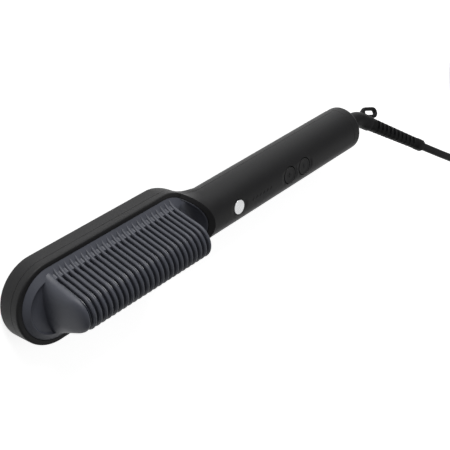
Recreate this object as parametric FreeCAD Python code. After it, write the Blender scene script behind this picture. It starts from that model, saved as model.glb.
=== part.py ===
"""Hair straightener brush: a heated comb in a long head, a round handle and a swivel mains cord.

The brush lies on its back. +X runs from the head's tip to the cord, +Z is the way the comb's
ribs point and Z = 0 is the flat back. All sizes are in millimetres. Every piece is built with X
measured from the head's tip and moved at the end, so that the origin is the bottom centre of the
brush without its cord.
"""
import FreeCAD, Part
import math
import os
from FreeCAD import Vector

# ---------------------------------------------------------------- driving dimensions
# Housing
HEAD_LENGTH = 141.6         # head tip to the crown of the arc where the handle starts
HANDLE_LENGTH = 157.9       # that crown to the outer face of the end cap
HEAD_WIDTH = 50.6
HEAD_DEPTH = 15.5           # flat back to the rim plane
HANDLE_DIAMETER = 32.0
HANDLE_WALL = 2.2
HEAD_WALL = 2.8             # also the width of the rim's lip
SHOULDER_RADIUS = 20.0      # hollow curve from the head's side into the handle
SHOULDER_BLEND = 6.0        # length in which the shoulder becomes the round handle
SHOULDER_STEPS = 5          # sections of the loft between the head's end and the handle
BORE_OVERLAP = 12.0         # the handle's bore starts this far before the round handle
SECTION_FLAT = 0.4          # the round handle keeps this half flat below, and at its widest line
CROWN_STEPS = 8             # points that draw the handle's crown
BACK_EDGE_RADIUS = 1.5
INNER_EDGE_RADIUS = 0.3     # smallest radius inside the back edge
CORNER_GROWTH = 1.5         # how late the back edge's radius grows along the shoulder
HEAD_SEAM_DROP = 5.4        # parting line below the rim plane, on the head
HANDLE_SEAM_DROP = 1.4      # parting line below the handle's axis
SEAM_RAMP_LEAD = 4.0        # the parting line's slope starts and ends this far before the shoulder
SEAM_GAP = 0.25             # shadow line between the two housings
SEAM_GROOVE_DEPTH = 0.9
LIP_FALL = 0.77             # the lip's inner edge keeps this share of its outer edge's rise
LIP_OVERLAP_ANGLE = 0.06    # the sloped lip starts this far inside the flat rim, in radians
LIP_MARGIN = 0.25           # the lip's slope runs on this far past the rim's inner and outer edge
LIP_STEPS = 14
LEDGE_WIDTH = 2.0           # step that carries the comb, inside the rim
COMB_EDGE_DEPTH = 3.0       # rim plane down to the ledge

# Comb
COMB_GAP = 0.3              # shadow gap between comb and rim
BORDER_RISE = 3.0           # height of the sloped border
BORDER_WIDTH = 5.0
RIB_SPACING = 3.97          # wanted pitch; the row's length sets the number of ribs
RIB_THICKNESS = 2.3
FIRST_RIB_LEAD = 0.7        # first rib before the centre of the head's front arc
LAST_RIB_LAG = 3.532        # last rib behind the centre of the head's rear arc
RIB_HEIGHT = 32.0           # rim plane to crest
RIB_TIP_DROP = 1.0          # the ribs next to the nose are this much lower
CREST_RADIUS = 11.8
KNEE_INSET = 6.7            # recess edge to the knee where the ribs' flare begins
KNEE_HEIGHT = 9.0
FOOT_INSET = 2.0
FOOT_HEIGHT = 0.4
RIB_DEPTH = 4.5             # thickness of the arch, outside to inside
SKIRT_RECESS = 0.7          # skirt surface below the ribs' outline
SKIRT_HEIGHT = 7.0
SKIRT_WALL = 1.3            # knee to the window's side
NOSE_DROP = 2.0             # nose's crest below the first ribs' full height
NOSE_LEAD = 7.5             # nose's foot before the first rib
NOSE_BOW = 2.7              # power of the curve that draws the nose's foot in plan
NOSE_ANGLES = (5.0, 15.0, 30.0, 50.0, 70.0, 90.0)   # sections on the nose's elliptical profile
DISH_LEAD = 1.4             # dish's centre before the centre of the head's front arc
DISH_EDGE = 0.3             # plateau left between the sloped border and the dish
DISH_DEPTH = 1.2
DISH_LAG = 2.7              # rear dish's centre before the centre of the head's rear arc
END_WALL = 1.5
END_WALL_DROP = 0.2         # end wall's top below the lip
ROOT = 0.5                  # ribs and skirts start this far above the plate's underside

# Heater
FIN_THICKNESS = 1.0
FIN_DROP = 1.7              # ribs' outline to fins' outline
DOME_GAP = 0.4
FLANGE_THICKNESS = 3.0
FLANGE_EDGE_GAP = 1.5       # ledge's inner edge to the flange
FLANGE_OVERHANG = 3.0
HEATER_END_GAP = 4.066      # ceramic strip to each end of the space under the ribs
HEATER_WIDTH = 13.0
POCKET_GAP = (0.5, 0.3)     # room round the ceramic strip, along and across
HEATER_THICKNESS = 4.0
CLAMP_THICKNESS = 1.5
MICA_THICKNESS = 0.6
SENSOR_SIZE = (5.0, 3.0, 1.8)
SENSOR_RUN = 14.0           # rear end of the space under the ribs to the sensor
SENSOR_PLACE = 10.0         # sensor and fuse beside the centre plane
FUSE_RADIUS = 1.9
FUSE_LENGTH = 11.0
FUSE_RUN = 22.0
HEATER_SCREW_RUNS = (15.4, 14.832)  # first rib to the front screws, rear screws to the last rib
HEATER_SCREW_EDGE = 2.1     # flange's side to the screws' axes
HEATER_SCREW_LENGTH = 8.6
HEATER_SCREW_RADIUS = 1.45
HEATER_SCREW_BITE = 1.5     # radius of the screws' holes in the comb
HEATER_SCREW_HOLE = 1.6     # radius of their holes in the casting and the mica sheet
HEATER_SCREW_HEAD = (2.4, 1.6)

# Controls
POWER_RUN = 15.2            # start of the round handle to the power button
POWER_RADIUS = 4.85
PLUS_RUN = 67.5
MINUS_RUN = 83.2
TEMPERATURE_RADIUS = 5.8
BUTTON_GAP = 0.3
BUTTON_COLLAR = 1.0
BUTTON_COLLAR_DEPTH = 1.1
COLLAR_GAP = 0.2            # button's collar to the shell
BUTTON_STEM_RADIUS = 1.8
BUTTON_TRAVEL = 0.6
BUTTON_PRE_TRAVEL = 0.05
LIGHT_COUNT = 6
LIGHT_PITCH = 3.58
LIGHT_RUN = 28.6            # start of the round handle to the first light
LIGHT_LENGTH = 1.8
LIGHT_WIDTH = 0.7
LIGHT_ANGLE = 45.0
LIGHT_GAP = 0.08
LIGHT_BAR_WIDTH = 5.0
LIGHT_BAR_DEPTH = 1.4
LIGHT_BAR_END = 2.0         # end pegs to the bar's ends
PEG_DROP = 0.1              # pegs' tops below the handle's surface
LED_SIZE = (1.6, 1.2, 0.9)

# Electronics
BOARD_HEADROOM = 9.3        # board's top face to the crown of the handle's bore
BOARD_THICKNESS = 1.6
BOARD_SIDE_GAP = 2.05       # board's edges to the bore
BOARD_RUN = 5.2             # start of the round handle to the board
BOARD_LENGTH = 90.0
BOARD_SCREW_RUNS = (56.2, 76.2)
BOARD_SCREW_EDGE = 3.0      # board's edge to the screws' axes
BOARD_SCREW_RADIUS = 1.1
BOARD_SCREW_LENGTH = 6.5
BOARD_SCREW_HEAD = (2.0, 1.4)
BOARD_SCREW_HOLE = 7.0      # depth of the screws' holes in the posts
BOARD_POST_RADIUS = 2.4
SWITCH_SIZE = 6.0
SWITCH_BODY = 3.5
SWITCH_PLUNGER = 5.0
SWITCH_PLUNGER_RADIUS = 1.6
CAPACITOR_LENGTH = 17.5
CAPACITOR_WIDTH = 8.0
CAPACITOR_FLOOR_GAP = 4.1   # capacitor to the bore's wall under it
CAPACITOR_RUN = 24.7
WIRE_RADIUS = 0.8
WIRE_GAP = 0.05
SUPPLY_END = 6.0            # supply leads' ends before the board's rear edge
SUPPLY_REACH = 2.0          # how far past the seam they go
HEATER_WIRE_PLACE = 8.0     # heater leads beside the centre plane
HEATER_WIRE_START = 4.0     # their front ends before the rear end of the space under the ribs
HEATER_WIRE_RUN = 32.2      # board's front edge to their rear ends

# Screws through the back
HOUSING_SCREW_RADIUS = 1.5
HOUSING_SCREW_HEAD = 2.8
HEAD_THICKNESS = 1.0
SCREW_RECESS = 1.6
SCREW_CLEARANCE = 0.15
SCREW_HEAD_CLEARANCE = 0.3
SCREW_FIT = 0.03            # shank smaller than its hole
SCREW_END_GAP = 0.5
SCREW_BOSS_RADIUS = 3.4
REAR_BOSS_HEIGHT = 2.0      # rear housing's floor to the top of its screw bosses in the head
BOSS_GAP = 0.5              # those to the comb's bosses
TIP_SCREW_X = 11.5
TIP_SCREW_REACH = 3.5       # how far above the ledge the screw's hole ends
NECK_SCREW_LAG = 15.2       # neck screw behind the centre of the head's rear arc
NECK_SCREW_REACH = 1.5
HANDLE_SCREW_RUN = 29.2     # handle screw to the end cap's seam
HANDLE_SCREW_DROP = 1.0     # top of its hole below the handle's axis
HANDLE_BOSS_SPLIT = 7.0     # height where the two halves of the handle's screw boss meet
SEAT_GAP = 0.05

# End cap and swivel
CAP_LENGTH = 8.3
CAP_EDGE_RADIUS = 4.0
CAP_EDGE_STEPS = 3          # cones that draw the cap's rounded edge
CAP_SPIGOT_LENGTH = 6.0
CAP_SPIGOT_GAP = 0.1
CAP_PLATE = 5.0             # inner face of the cap's plate to the seam, inside the spigot
JOURNAL_RADIUS = 6.2
JOURNAL_GAP = 0.08
JOURNAL_BORE = 4.4
RETAINER_THICKNESS = 1.2
RETAINER_WIDTH = 2.6
RETAINER_GAP = 0.2
RETAINER_BITE = 0.9         # how deep the retainer sits in the journal
RETAINER_OPENING = 5.0
CAVITY_GAP = 1.0            # round the retainer
BEND_X = 18.0               # end cap's face to the bend of the neck
NECK_RADIUS = 5.7
NECK_STRAIGHT = 6.0         # end cap's face to the start of the neck's taper
ELBOW_SWELL = 0.05
NECK_LENGTH = 13.0          # bend to the start of the strain relief
NECK_YAW = -35.2
NECK_PITCH = 15.7
LOOP_CENTRE = (14.8, 3.9)
LOOP_HOLE = (12.0, 3.8)
LOOP_BAR = 2.0
LOOP_THICKNESS = 3.4

# Cord
RELIEF_LENGTH = 60.0
RELIEF_START_RADIUS = 5.1
RELIEF_END_RADIUS = 4.3
RELIEF_COLLAR_LENGTH = 6.0
RELIEF_COLLAR_RADIUS = 4.6
RELIEF_SLOTS = 10
RELIEF_SLOT_PITCH = 4.5
RELIEF_SLOT_WIDTH = 2.1
RELIEF_FIRST_SLOT = 5.5
RELIEF_SPINE = 2.3          # half thickness of the web that the slots leave
CORD_DIAMETER = 6.0
CORD_FLOOR_GAP = 0.1
BEND_SHARE = 0.45           # share of the shorter neighbouring run that a bend takes up
COIL_TURN_RADII = (26.9, 33.0, 39.1, 45.2)
COIL_LAYERS = 2
TIE_WIDTH = 8.0
TIE_THICKNESS = 1.2
TIE_GAP = 0.2
TIE_FLOOR = (0.02, 0.08)    # the strap under the coil, pressed flat: its lower and upper face
PLUG_LENGTH = 36.0
PLUG_WIDTH = 35.0
PLUG_THICKNESS = 13.8
PLUG_NECK = 8.4             # thickness at the cord
PLUG_CHAMFER = 0.3          # bevel as a share of the thickness
PLUG_SECTIONS = ((0.0, 0.0, 0.0), (0.3, 0.19, 0.28), (0.62, 0.74, 0.82), (1.0, 1.0, 1.0))
PIN_RADIUS = 2.0
PIN_TIP = 1.2
PIN_LENGTH = 19.0
PIN_SPACING = 18.0

# Route of the cord: a straight run out of the strain relief, then points given as steps in plan
# from the relief's end, and heights
CORD_FIRST_RUN = 40.0
CORD_ROUTE = (
    (63.3, -39.5, 41.0),
    (95.3, -38.5, 19.0),
    (125.3, -30.0, 3.1),
    (152.8, -24.7, 3.1),
)
# Route of the plug's tail: steps in plan from the coil's centre, and heights
TAIL_ROUTE = (
    (0.0, -45.2, 9.1),
    (20.0, -45.2, 8.6),
    (40.0, -44.7, 7.0),
    (56.0, -43.8, 7.0),
)

# ---------------------------------------------------------------- derived sizes
OVERLAP = 1.0               # how far cutting shapes run past the faces they cut
BODY_LENGTH = HEAD_LENGTH + HANDLE_LENGTH
HEAD_HALF = HEAD_WIDTH / 2.0
TIP_CENTRE_X = HEAD_HALF
HEAD_END_X = HEAD_LENGTH - HEAD_HALF
HANDLE_RADIUS = HANDLE_DIAMETER / 2.0
AXIS_Z = HANDLE_RADIUS
INNER_RADIUS = HANDLE_RADIUS - HANDLE_WALL
RECESS_HALF = HEAD_HALF - HEAD_WALL
RECESS_TIP_X = TIP_CENTRE_X + 0.6
LEDGE_Z = HEAD_DEPTH - COMB_EDGE_DEPTH
LEDGE_HALF = RECESS_HALF - LEDGE_WIDTH
SEAM_X = BODY_LENGTH - CAP_LENGTH
HEAD_SEAM_Z = HEAD_DEPTH - HEAD_SEAM_DROP
HANDLE_SEAM_Z = AXIS_Z - HANDLE_SEAM_DROP
SHOULDER_X = HEAD_END_X + math.sqrt(
    (HEAD_HALF + SHOULDER_RADIUS) ** 2 - (HANDLE_RADIUS + SHOULDER_RADIUS) ** 2)
TANGENT_X = HEAD_END_X + (SHOULDER_X - HEAD_END_X) * HEAD_HALF / (HEAD_HALF + SHOULDER_RADIUS)
HANDLE_START_X = SHOULDER_X + SHOULDER_BLEND
COMB_HALF = RECESS_HALF - COMB_GAP
FIRST_RIB_X = TIP_CENTRE_X - FIRST_RIB_LEAD
LAST_RIB_X = HEAD_END_X + LAST_RIB_LAG
RIB_COUNT = 1 + round((LAST_RIB_X - FIRST_RIB_X) / RIB_SPACING)
RIB_PITCH = (LAST_RIB_X - FIRST_RIB_X) / (RIB_COUNT - 1)
NOSE_BASE_X = FIRST_RIB_X - NOSE_LEAD
NOSE_HEIGHT = RIB_HEIGHT - NOSE_DROP
DISH_CENTRE_X = TIP_CENTRE_X - DISH_LEAD
DISH_RADIUS = COMB_HALF - BORDER_WIDTH - DISH_EDGE
KNEE_Y = RECESS_HALF - KNEE_INSET
FOOT_Y = RECESS_HALF - FOOT_INSET
WINDOW_HALF = KNEE_Y - SKIRT_WALL
PLATEAU_Z = HEAD_DEPTH + BORDER_RISE
DOME_OFFSET = RIB_DEPTH + DOME_GAP
FLANGE_Z = LEDGE_Z - FLANGE_THICKNESS
FLANGE_HALF_WIDTH = LEDGE_HALF - FLANGE_EDGE_GAP
MICA_Z = FLANGE_Z - MICA_THICKNESS
WINDOW_FRONT = FIRST_RIB_X + RIB_THICKNESS / 2.0 + DOME_GAP
WINDOW_REAR = LAST_RIB_X - RIB_THICKNESS / 2.0 - DOME_GAP
POWER_X = HANDLE_START_X + POWER_RUN
PLUS_X = HANDLE_START_X + PLUS_RUN
MINUS_X = HANDLE_START_X + MINUS_RUN
FIRST_LIGHT_X = HANDLE_START_X + LIGHT_RUN
BOARD_RISE = INNER_RADIUS - BOARD_HEADROOM
BOARD_HALF = math.sqrt(INNER_RADIUS ** 2 - BOARD_RISE ** 2) - BOARD_SIDE_GAP
BOARD_TOP = AXIS_Z + BOARD_RISE
BOARD_BOTTOM = BOARD_TOP - BOARD_THICKNESS
BOARD_START_X = HANDLE_START_X + BOARD_RUN
BOARD_END_X = BOARD_START_X + BOARD_LENGTH
BOARD_SCREW_Y = BOARD_HALF - BOARD_SCREW_EDGE
BOARD_SCREWS = ((HANDLE_START_X + BOARD_SCREW_RUNS[0], BOARD_SCREW_Y),
                (HANDLE_START_X + BOARD_SCREW_RUNS[1], -BOARD_SCREW_Y))
CAPACITOR_X = HANDLE_START_X + CAPACITOR_RUN
CAPACITOR_Z = AXIS_Z + CAPACITOR_FLOOR_GAP - math.sqrt(
    INNER_RADIUS ** 2 - (CAPACITOR_WIDTH / 2.0) ** 2)
NECK_SCREW_X = HEAD_END_X + NECK_SCREW_LAG
HANDLE_SCREW_X = SEAM_X - HANDLE_SCREW_RUN
SPIGOT_X = SEAM_X - CAP_SPIGOT_LENGTH
BORE_END = BODY_LENGTH + NECK_STRAIGHT - 2.0
RETAINER_X = SPIGOT_X + CAP_PLATE - RETAINER_GAP - RETAINER_THICKNESS
CORD_RADIUS = CORD_DIAMETER / 2.0
BIG = 2.0 * BODY_LENGTH

UP = Vector(0, 0, 1)
ALONG = Vector(1, 0, 0)
ACROSS = Vector(0, 1, 0)


# ---------------------------------------------------------------- plain shapes
def cylinder(radius, length, start, direction=UP):
    """Round bar of a length from a start point."""
    return Part.makeCylinder(radius, length, Vector(*start), direction)


def block(low, high):
    """Box between two corners."""
    size = [b - a for a, b in zip(low, high)]
    return Part.makeBox(size[0], size[1], size[2], Vector(*low))


def stadium_wire(front_x, rear_x, radius, z):
    """Outline of two half circles joined by straight sides, in plan."""
    front = Part.Arc(Vector(front_x, radius, z), Vector(front_x - radius, 0, z),
                     Vector(front_x, -radius, z)).toShape()
    rear = Part.Arc(Vector(rear_x, -radius, z), Vector(rear_x + radius, 0, z),
                    Vector(rear_x, radius, z)).toShape()
    lower = Part.LineSegment(Vector(front_x, -radius, z), Vector(rear_x, -radius, z)).toShape()
    upper = Part.LineSegment(Vector(rear_x, radius, z), Vector(front_x, radius, z)).toShape()
    return Part.Wire([front, lower, rear, upper])


def stadium(front_x, rear_x, radius, low, high):
    """Upright solid with a stadium outline."""
    return Part.Face(stadium_wire(front_x, rear_x, radius, low)).extrude(Vector(0, 0, high - low))


def ring(outer, inner, start, length, direction=ALONG):
    """Tube with a round bore."""
    hole = cylinder(inner, length, start, direction)
    return cylinder(outer, length, start, direction).cut(hole)


def mirror_y(shape):
    """The same shape on the other side of the centre plane."""
    return shape.mirror(Vector(0, 0, 0), ACROSS)


def fused(shapes):
    """One solid from overlapping solids."""
    return shapes[0].multiFuse(shapes[1:]).removeSplitter()


# ---------------------------------------------------------------- housing
def half_width(x):
    """Half width of the housing in plan: rear arc of the head, hollow shoulder, handle."""
    if x <= HEAD_END_X:
        return HEAD_HALF
    if x <= TANGENT_X:
        return math.sqrt(HEAD_HALF ** 2 - (x - HEAD_END_X) ** 2)
    if x < SHOULDER_X:
        fall = math.sqrt(SHOULDER_RADIUS ** 2 - (SHOULDER_X - x) ** 2)
        return HANDLE_RADIUS + SHOULDER_RADIUS - fall
    return HANDLE_RADIUS


def shoulder_share(x):
    """How far a station is on the way from the flat-sided head to the round handle, 0 to 1."""
    share = (x - TANGENT_X) / (SHOULDER_X - TANGENT_X)
    share = min(1.0, max(0.0, share))
    return share * share * (3.0 - 2.0 * share)


def waist_z(x):
    """Height of the widest line of the section: the rim plane at the head, the handle's axis."""
    return HEAD_DEPTH + (AXIS_Z - HEAD_DEPTH) * shoulder_share(x)


def top_z(x, y):
    """Height of the handle's upper surface, which flares with the shoulder."""
    width = half_width(x)
    rise = HANDLE_DIAMETER - waist_z(x)
    return waist_z(x) + rise * math.sqrt(max(0.0, 1.0 - (y / width) ** 2))


def section_wire(x, inset):
    """Closed section of the shoulder: flat back with round corners, and a half ellipse above."""
    width = half_width(x) - inset
    waist = waist_z(x)
    top = HANDLE_DIAMETER - inset
    full_corner = min(width, waist - inset) - SECTION_FLAT
    start_corner = max(INNER_EDGE_RADIUS, BACK_EDGE_RADIUS - inset)
    share = ((x - HEAD_END_X) / (HANDLE_START_X - HEAD_END_X)) ** CORNER_GROWTH
    corner = start_corner + (full_corner - start_corner) * share
    lean = corner * math.sqrt(0.5)
    points = [(-width, waist), (-width, inset + corner), (-width + corner, inset),
              (width - corner, inset), (width, inset + corner), (width, waist)]
    p = [Vector(x, y, z) for y, z in points]
    left_mid = Vector(x, -width + corner - lean, inset + corner - lean)
    right_mid = Vector(x, width - corner + lean, inset + corner - lean)
    if x < SHOULDER_X - 1e-6:
        crown = [Vector(x, width * math.cos(a), waist + (top - waist) * math.sin(a))
                 for a in [math.pi * k / CROWN_STEPS for k in range(CROWN_STEPS + 1)]]
        arch = Part.BSplineCurve()
        arch.interpolate(Points=crown, InitialTangent=Vector(0, 0, 1), FinalTangent=Vector(0, 0, -1))
    else:
        arch = Part.Arc(Vector(x, width, waist), Vector(x, 0, top), Vector(x, -width, waist))
    return Part.Wire([
        Part.LineSegment(p[0], p[1]).toShape(),
        Part.Arc(p[1], left_mid, p[2]).toShape(),
        Part.LineSegment(p[2], p[3]).toShape(),
        Part.Arc(p[3], right_mid, p[4]).toShape(),
        Part.LineSegment(p[4], p[5]).toShape(),
        arch.toShape(),
    ])


def head_block(inset):
    """Flat-backed head, a stadium in plan with a small radius round its back edge."""
    solid = stadium(TIP_CENTRE_X, HEAD_END_X, HEAD_HALF - inset, inset, HEAD_DEPTH)
    radius = max(INNER_EDGE_RADIUS, BACK_EDGE_RADIUS - inset)
    low = [e for e in solid.Edges if abs(e.BoundBox.ZMax - inset) < 1e-6]
    return solid.makeFillet(radius, low)


def shoulder_block(inset):
    """Loft from the head's end to the round handle."""
    reach = SHOULDER_X - HEAD_END_X
    stations = [HEAD_END_X + reach * k / SHOULDER_STEPS for k in range(SHOULDER_STEPS + 1)]
    stations.append(HANDLE_START_X)
    return Part.makeLoft([section_wire(x, inset) for x in stations], True, False)


def lip_cut():
    """Space above the rim: the scoop in front of the handle with its sloped lip."""
    low_x = HEAD_END_X - OVERLAP
    opening = cylinder(RECESS_HALF, BIG, (HEAD_END_X, 0, HEAD_DEPTH))
    front = block((-BIG, -BIG, HEAD_DEPTH), (low_x, BIG, BIG))
    widest = math.acos((TANGENT_X - HEAD_END_X) / HEAD_HALF) + LIP_OVERLAP_ANGLE
    sides = block((low_x, -BIG, HEAD_DEPTH), (TANGENT_X, BIG, BIG))
    outer_r = HEAD_HALF + LIP_MARGIN
    inner_r = RECESS_HALF - LIP_MARGIN
    above = HANDLE_DIAMETER + OVERLAP
    wires = []
    for k in range(LIP_STEPS + 1):
        angle = -widest + 2.0 * widest * k / LIP_STEPS
        cosine = math.cos(angle)
        sine = math.sin(angle)
        outer_z = top_z(HEAD_END_X + outer_r * cosine, outer_r * sine)
        inner_z = HEAD_DEPTH + LIP_FALL * (outer_z - HEAD_DEPTH)
        corners = [(outer_r, outer_z), (inner_r, inner_z), (inner_r, above), (outer_r, above)]
        points = [Vector(HEAD_END_X + r * cosine, r * sine, z) for r, z in corners]
        wires.append(Part.makePolygon(points + points[:1]))
    lip = Part.makeLoft(wires, True, False)
    return [opening, front, sides, lip]


def body_form(inset):
    """Closed outer form of the housing, or the same form drawn in by an inset."""
    section = Part.Face(section_wire(HANDLE_START_X, inset))
    handle = section.extrude(Vector(SEAM_X - HANDLE_START_X, 0, 0))
    return [head_block(inset), shoulder_block(inset), handle]


def parting_profile(lift):
    """Side view of the parting line, from the tip to the end cap."""
    return [(-BIG, HEAD_SEAM_Z + lift), (TANGENT_X - SEAM_RAMP_LEAD, HEAD_SEAM_Z + lift),
            (HANDLE_START_X - SEAM_RAMP_LEAD, HANDLE_SEAM_Z + lift), (BIG, HANDLE_SEAM_Z + lift)]


def below_parting(lift):
    """All the space below the parting line."""
    line = parting_profile(lift)
    points = [(line[0][0], -BIG)] + line + [(line[-1][0], -BIG)]
    corners = [Vector(x, -BIG, z) for x, z in points]
    return Part.Face(Part.makePolygon(corners + corners[:1])).extrude(Vector(0, 2.0 * BIG, 0))


def housing_shell():
    """Hollow housing in one piece, before it is parted and its bosses are added."""
    outer = fused(body_form(0.0))
    outer = outer.cut(lip_cut())
    inner_handle = cylinder(INNER_RADIUS, BIG, (HANDLE_START_X - BORE_OVERLAP, 0, AXIS_Z), ALONG)
    tunnel = block((HEAD_END_X, -HANDLE_RADIUS + HEAD_WALL, HANDLE_WALL),
                   (HANDLE_START_X, HANDLE_RADIUS - HEAD_WALL, LEDGE_Z))
    tunnel = tunnel.common(fused(body_form(HANDLE_WALL)))
    tray = stadium(TIP_CENTRE_X, HEAD_END_X, LEDGE_HALF, HANDLE_WALL, HEAD_DEPTH + OVERLAP)
    recess = stadium(RECESS_TIP_X, HEAD_END_X, RECESS_HALF, LEDGE_Z, HEAD_DEPTH + OVERLAP)
    return outer.cut([inner_handle, tunnel, tray, recess])


def groove():
    """Shadow line along the outside of the parting line."""
    slab = below_parting(SEAM_GAP).cut(below_parting(0.0))
    core = fused(body_form(SEAM_GROOVE_DEPTH))
    return slab.cut(core)


def screw_places():
    """Plan position, seat height and top of each screw that goes in from the back."""
    cap_x = SEAM_X - CAP_SPIGOT_LENGTH / 2.0
    return [(TIP_SCREW_X, LEDGE_Z + TIP_SCREW_REACH), (NECK_SCREW_X, LEDGE_Z + NECK_SCREW_REACH),
            (HANDLE_SCREW_X, AXIS_Z - HANDLE_SCREW_DROP),
            (cap_x, AXIS_Z - JOURNAL_RADIUS - RETAINER_WIDTH)]


def screw_tools():
    """Clearance bores and head recesses for the housing screws."""
    tools = []
    for x, top in screw_places():
        tools.append(cylinder(HOUSING_SCREW_RADIUS + SCREW_CLEARANCE, top, (x, 0, 0)))
        tools.append(cylinder(HOUSING_SCREW_HEAD + SCREW_HEAD_CLEARANCE, SCREW_RECESS, (x, 0, 0)))
    return tools


def rear_housing(shell):
    """Back tray of the head with the lower half of the handle."""
    half = shell.common(below_parting(0.0))
    bosses = [cylinder(SCREW_BOSS_RADIUS, HANDLE_BOSS_SPLIT - OVERLAP, (HANDLE_SCREW_X, 0, OVERLAP))]
    inside = cylinder(HANDLE_RADIUS - HANDLE_WALL / 2.0, BIG, (0, 0, AXIS_Z), ALONG)
    for x, y in BOARD_SCREWS:
        bosses.append(cylinder(BOARD_POST_RADIUS, BOARD_BOTTOM, (x, y, 0)).common(inside))
    for x, top in screw_places()[:2]:
        height = HANDLE_WALL + REAR_BOSS_HEIGHT - OVERLAP
        bosses.append(cylinder(SCREW_BOSS_RADIUS, height, (x, 0, OVERLAP)))
    half = fused([half] + bosses)
    holes = [cylinder(BOARD_SCREW_RADIUS, BOARD_SCREW_HOLE, (x, y, BOARD_BOTTOM - BOARD_SCREW_HOLE))
             for x, y in BOARD_SCREWS]
    return half.cut(holes + screw_tools() + [groove()])


def button_specs():
    """Name, place along the handle and radius of each button."""
    return [("power_button", POWER_X, POWER_RADIUS), ("plus_button", PLUS_X, TEMPERATURE_RADIUS),
            ("minus_button", MINUS_X, TEMPERATURE_RADIUS)]


def slanted_peg(x, low, high, grow):
    """Upright peg with a short slanted stadium section."""
    half = (LIGHT_LENGTH - LIGHT_WIDTH) / 2.0
    peg = stadium(-half, half, LIGHT_WIDTH / 2.0 + grow, low, high)
    peg.rotate(Vector(0, 0, 0), UP, LIGHT_ANGLE)
    peg.translate(Vector(x, 0, 0))
    return peg


def light_places():
    """Places of the indicator lights along the handle."""
    return [FIRST_LIGHT_X + k * LIGHT_PITCH for k in range(LIGHT_COUNT)]


def front_housing(shell):
    """Rim frame of the head with the upper half of the handle, and its openings."""
    half = shell.cut(below_parting(0.0))
    x = HANDLE_SCREW_X
    boss_low = HANDLE_BOSS_SPLIT + SEAT_GAP
    boss = cylinder(SCREW_BOSS_RADIUS, HANDLE_DIAMETER - OVERLAP - boss_low, (x, 0, boss_low))
    half = fused([half, boss])
    cuts = [cylinder(radius + BUTTON_GAP, BIG, (place, 0, AXIS_Z))
            for name, place, radius in button_specs()]
    cuts += [slanted_peg(place, AXIS_Z, 2.0 * HANDLE_DIAMETER, LIGHT_GAP)
             for place in light_places()]
    cuts.append(cylinder(HOUSING_SCREW_RADIUS, screw_places()[2][1], (x, 0, 0)))
    return half.cut(cuts + [groove()])


# ---------------------------------------------------------------- comb
def rib_height(x):
    """Crest of the comb's outline above the rim plane: slightly lower next to the nose."""
    share = (x - FIRST_RIB_X) / (LAST_RIB_X - FIRST_RIB_X)
    return RIB_HEIGHT - RIB_TIP_DROP * (1.0 - min(1.0, max(0.0, share)))


def crest_tangent(offset, crest_z):
    """Point where a line from the knee touches the crest's circle, in Y and Z."""
    radius = CREST_RADIUS - offset
    centre_z = crest_z - CREST_RADIUS
    knee_y = KNEE_Y - offset
    knee_z = HEAD_DEPTH + KNEE_HEIGHT
    away = math.hypot(knee_y, centre_z - knee_z)
    bearing = math.atan2(knee_z - centre_z, knee_y)
    angle = bearing + math.acos(radius / away)
    return radius * math.cos(angle), centre_z + radius * math.sin(angle)


def flare_middle(knee, side, foot):
    """Middle point of the arc that leaves the knee along the rib's side and ends at the foot."""
    run = foot - knee
    normal = Vector(0, side.z, -side.y)
    if normal.y < 0:
        normal = normal.negative()
    radius = run.dot(run) / (2.0 * normal.dot(run))
    centre = knee + normal * radius
    middle = (knee + foot) * 0.5 - centre
    middle.normalize()
    return centre + middle * abs(radius)


def comb_outline(x, offset, low_z, crest_z, flared=True):
    """Arched outline across the comb at one place, as a closed face in the YZ plane."""
    top_y, top_height = crest_tangent(offset, crest_z)
    knee = Vector(x, KNEE_Y - offset, HEAD_DEPTH + KNEE_HEIGHT)
    touch = Vector(x, top_y, top_height)
    if flared:
        foot = Vector(x, FOOT_Y - offset, HEAD_DEPTH + FOOT_HEIGHT)
        side = knee - touch
        side.normalize()
        middle = flare_middle(knee, side, foot)
        right = [Part.Arc(foot, middle, knee)]
        start = foot
    else:
        start = knee
        right = []
    base = Vector(x, start.y, low_z)
    chain = [Part.LineSegment(base, start)] + right + [Part.LineSegment(knee, touch)]
    right_edges = [g.toShape() for g in chain]
    left_edges = [mirror_y(e) for e in right_edges]
    crest = Part.Arc(touch, Vector(x, 0, crest_z - offset), Vector(x, -top_y, top_height))
    floor = Part.LineSegment(base, Vector(x, -base.y, low_z))
    edges = right_edges + [crest.toShape()] + left_edges + [floor.toShape()]
    return Part.Face(Part.Wire(Part.__sortEdges__(edges)))


def rib(x, solid):
    """One guard rib: an open arch, or a closed wall at the end."""
    crest_z = HEAD_DEPTH + rib_height(x)
    face = comb_outline(x - RIB_THICKNESS / 2.0, 0.0, LEDGE_Z + ROOT, crest_z)
    plate = face.extrude(Vector(RIB_THICKNESS, 0, 0))
    if solid:
        return plate
    inner = comb_outline(x - RIB_THICKNESS, RIB_DEPTH, LEDGE_Z, crest_z, False)
    return plate.cut(inner.extrude(Vector(2.0 * RIB_THICKNESS, 0, 0)))


def skirt():
    """Low ramps on both sides that join the feet of the ribs."""
    face = comb_outline(FIRST_RIB_X, SKIRT_RECESS, LEDGE_Z + ROOT, HEAD_DEPTH + RIB_HEIGHT)
    ramp = face.extrude(Vector(LAST_RIB_X - FIRST_RIB_X, 0, 0))
    return ramp.cut(block((0, -BIG, HEAD_DEPTH + SKIRT_HEIGHT), (BIG, BIG, BIG)))


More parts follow.
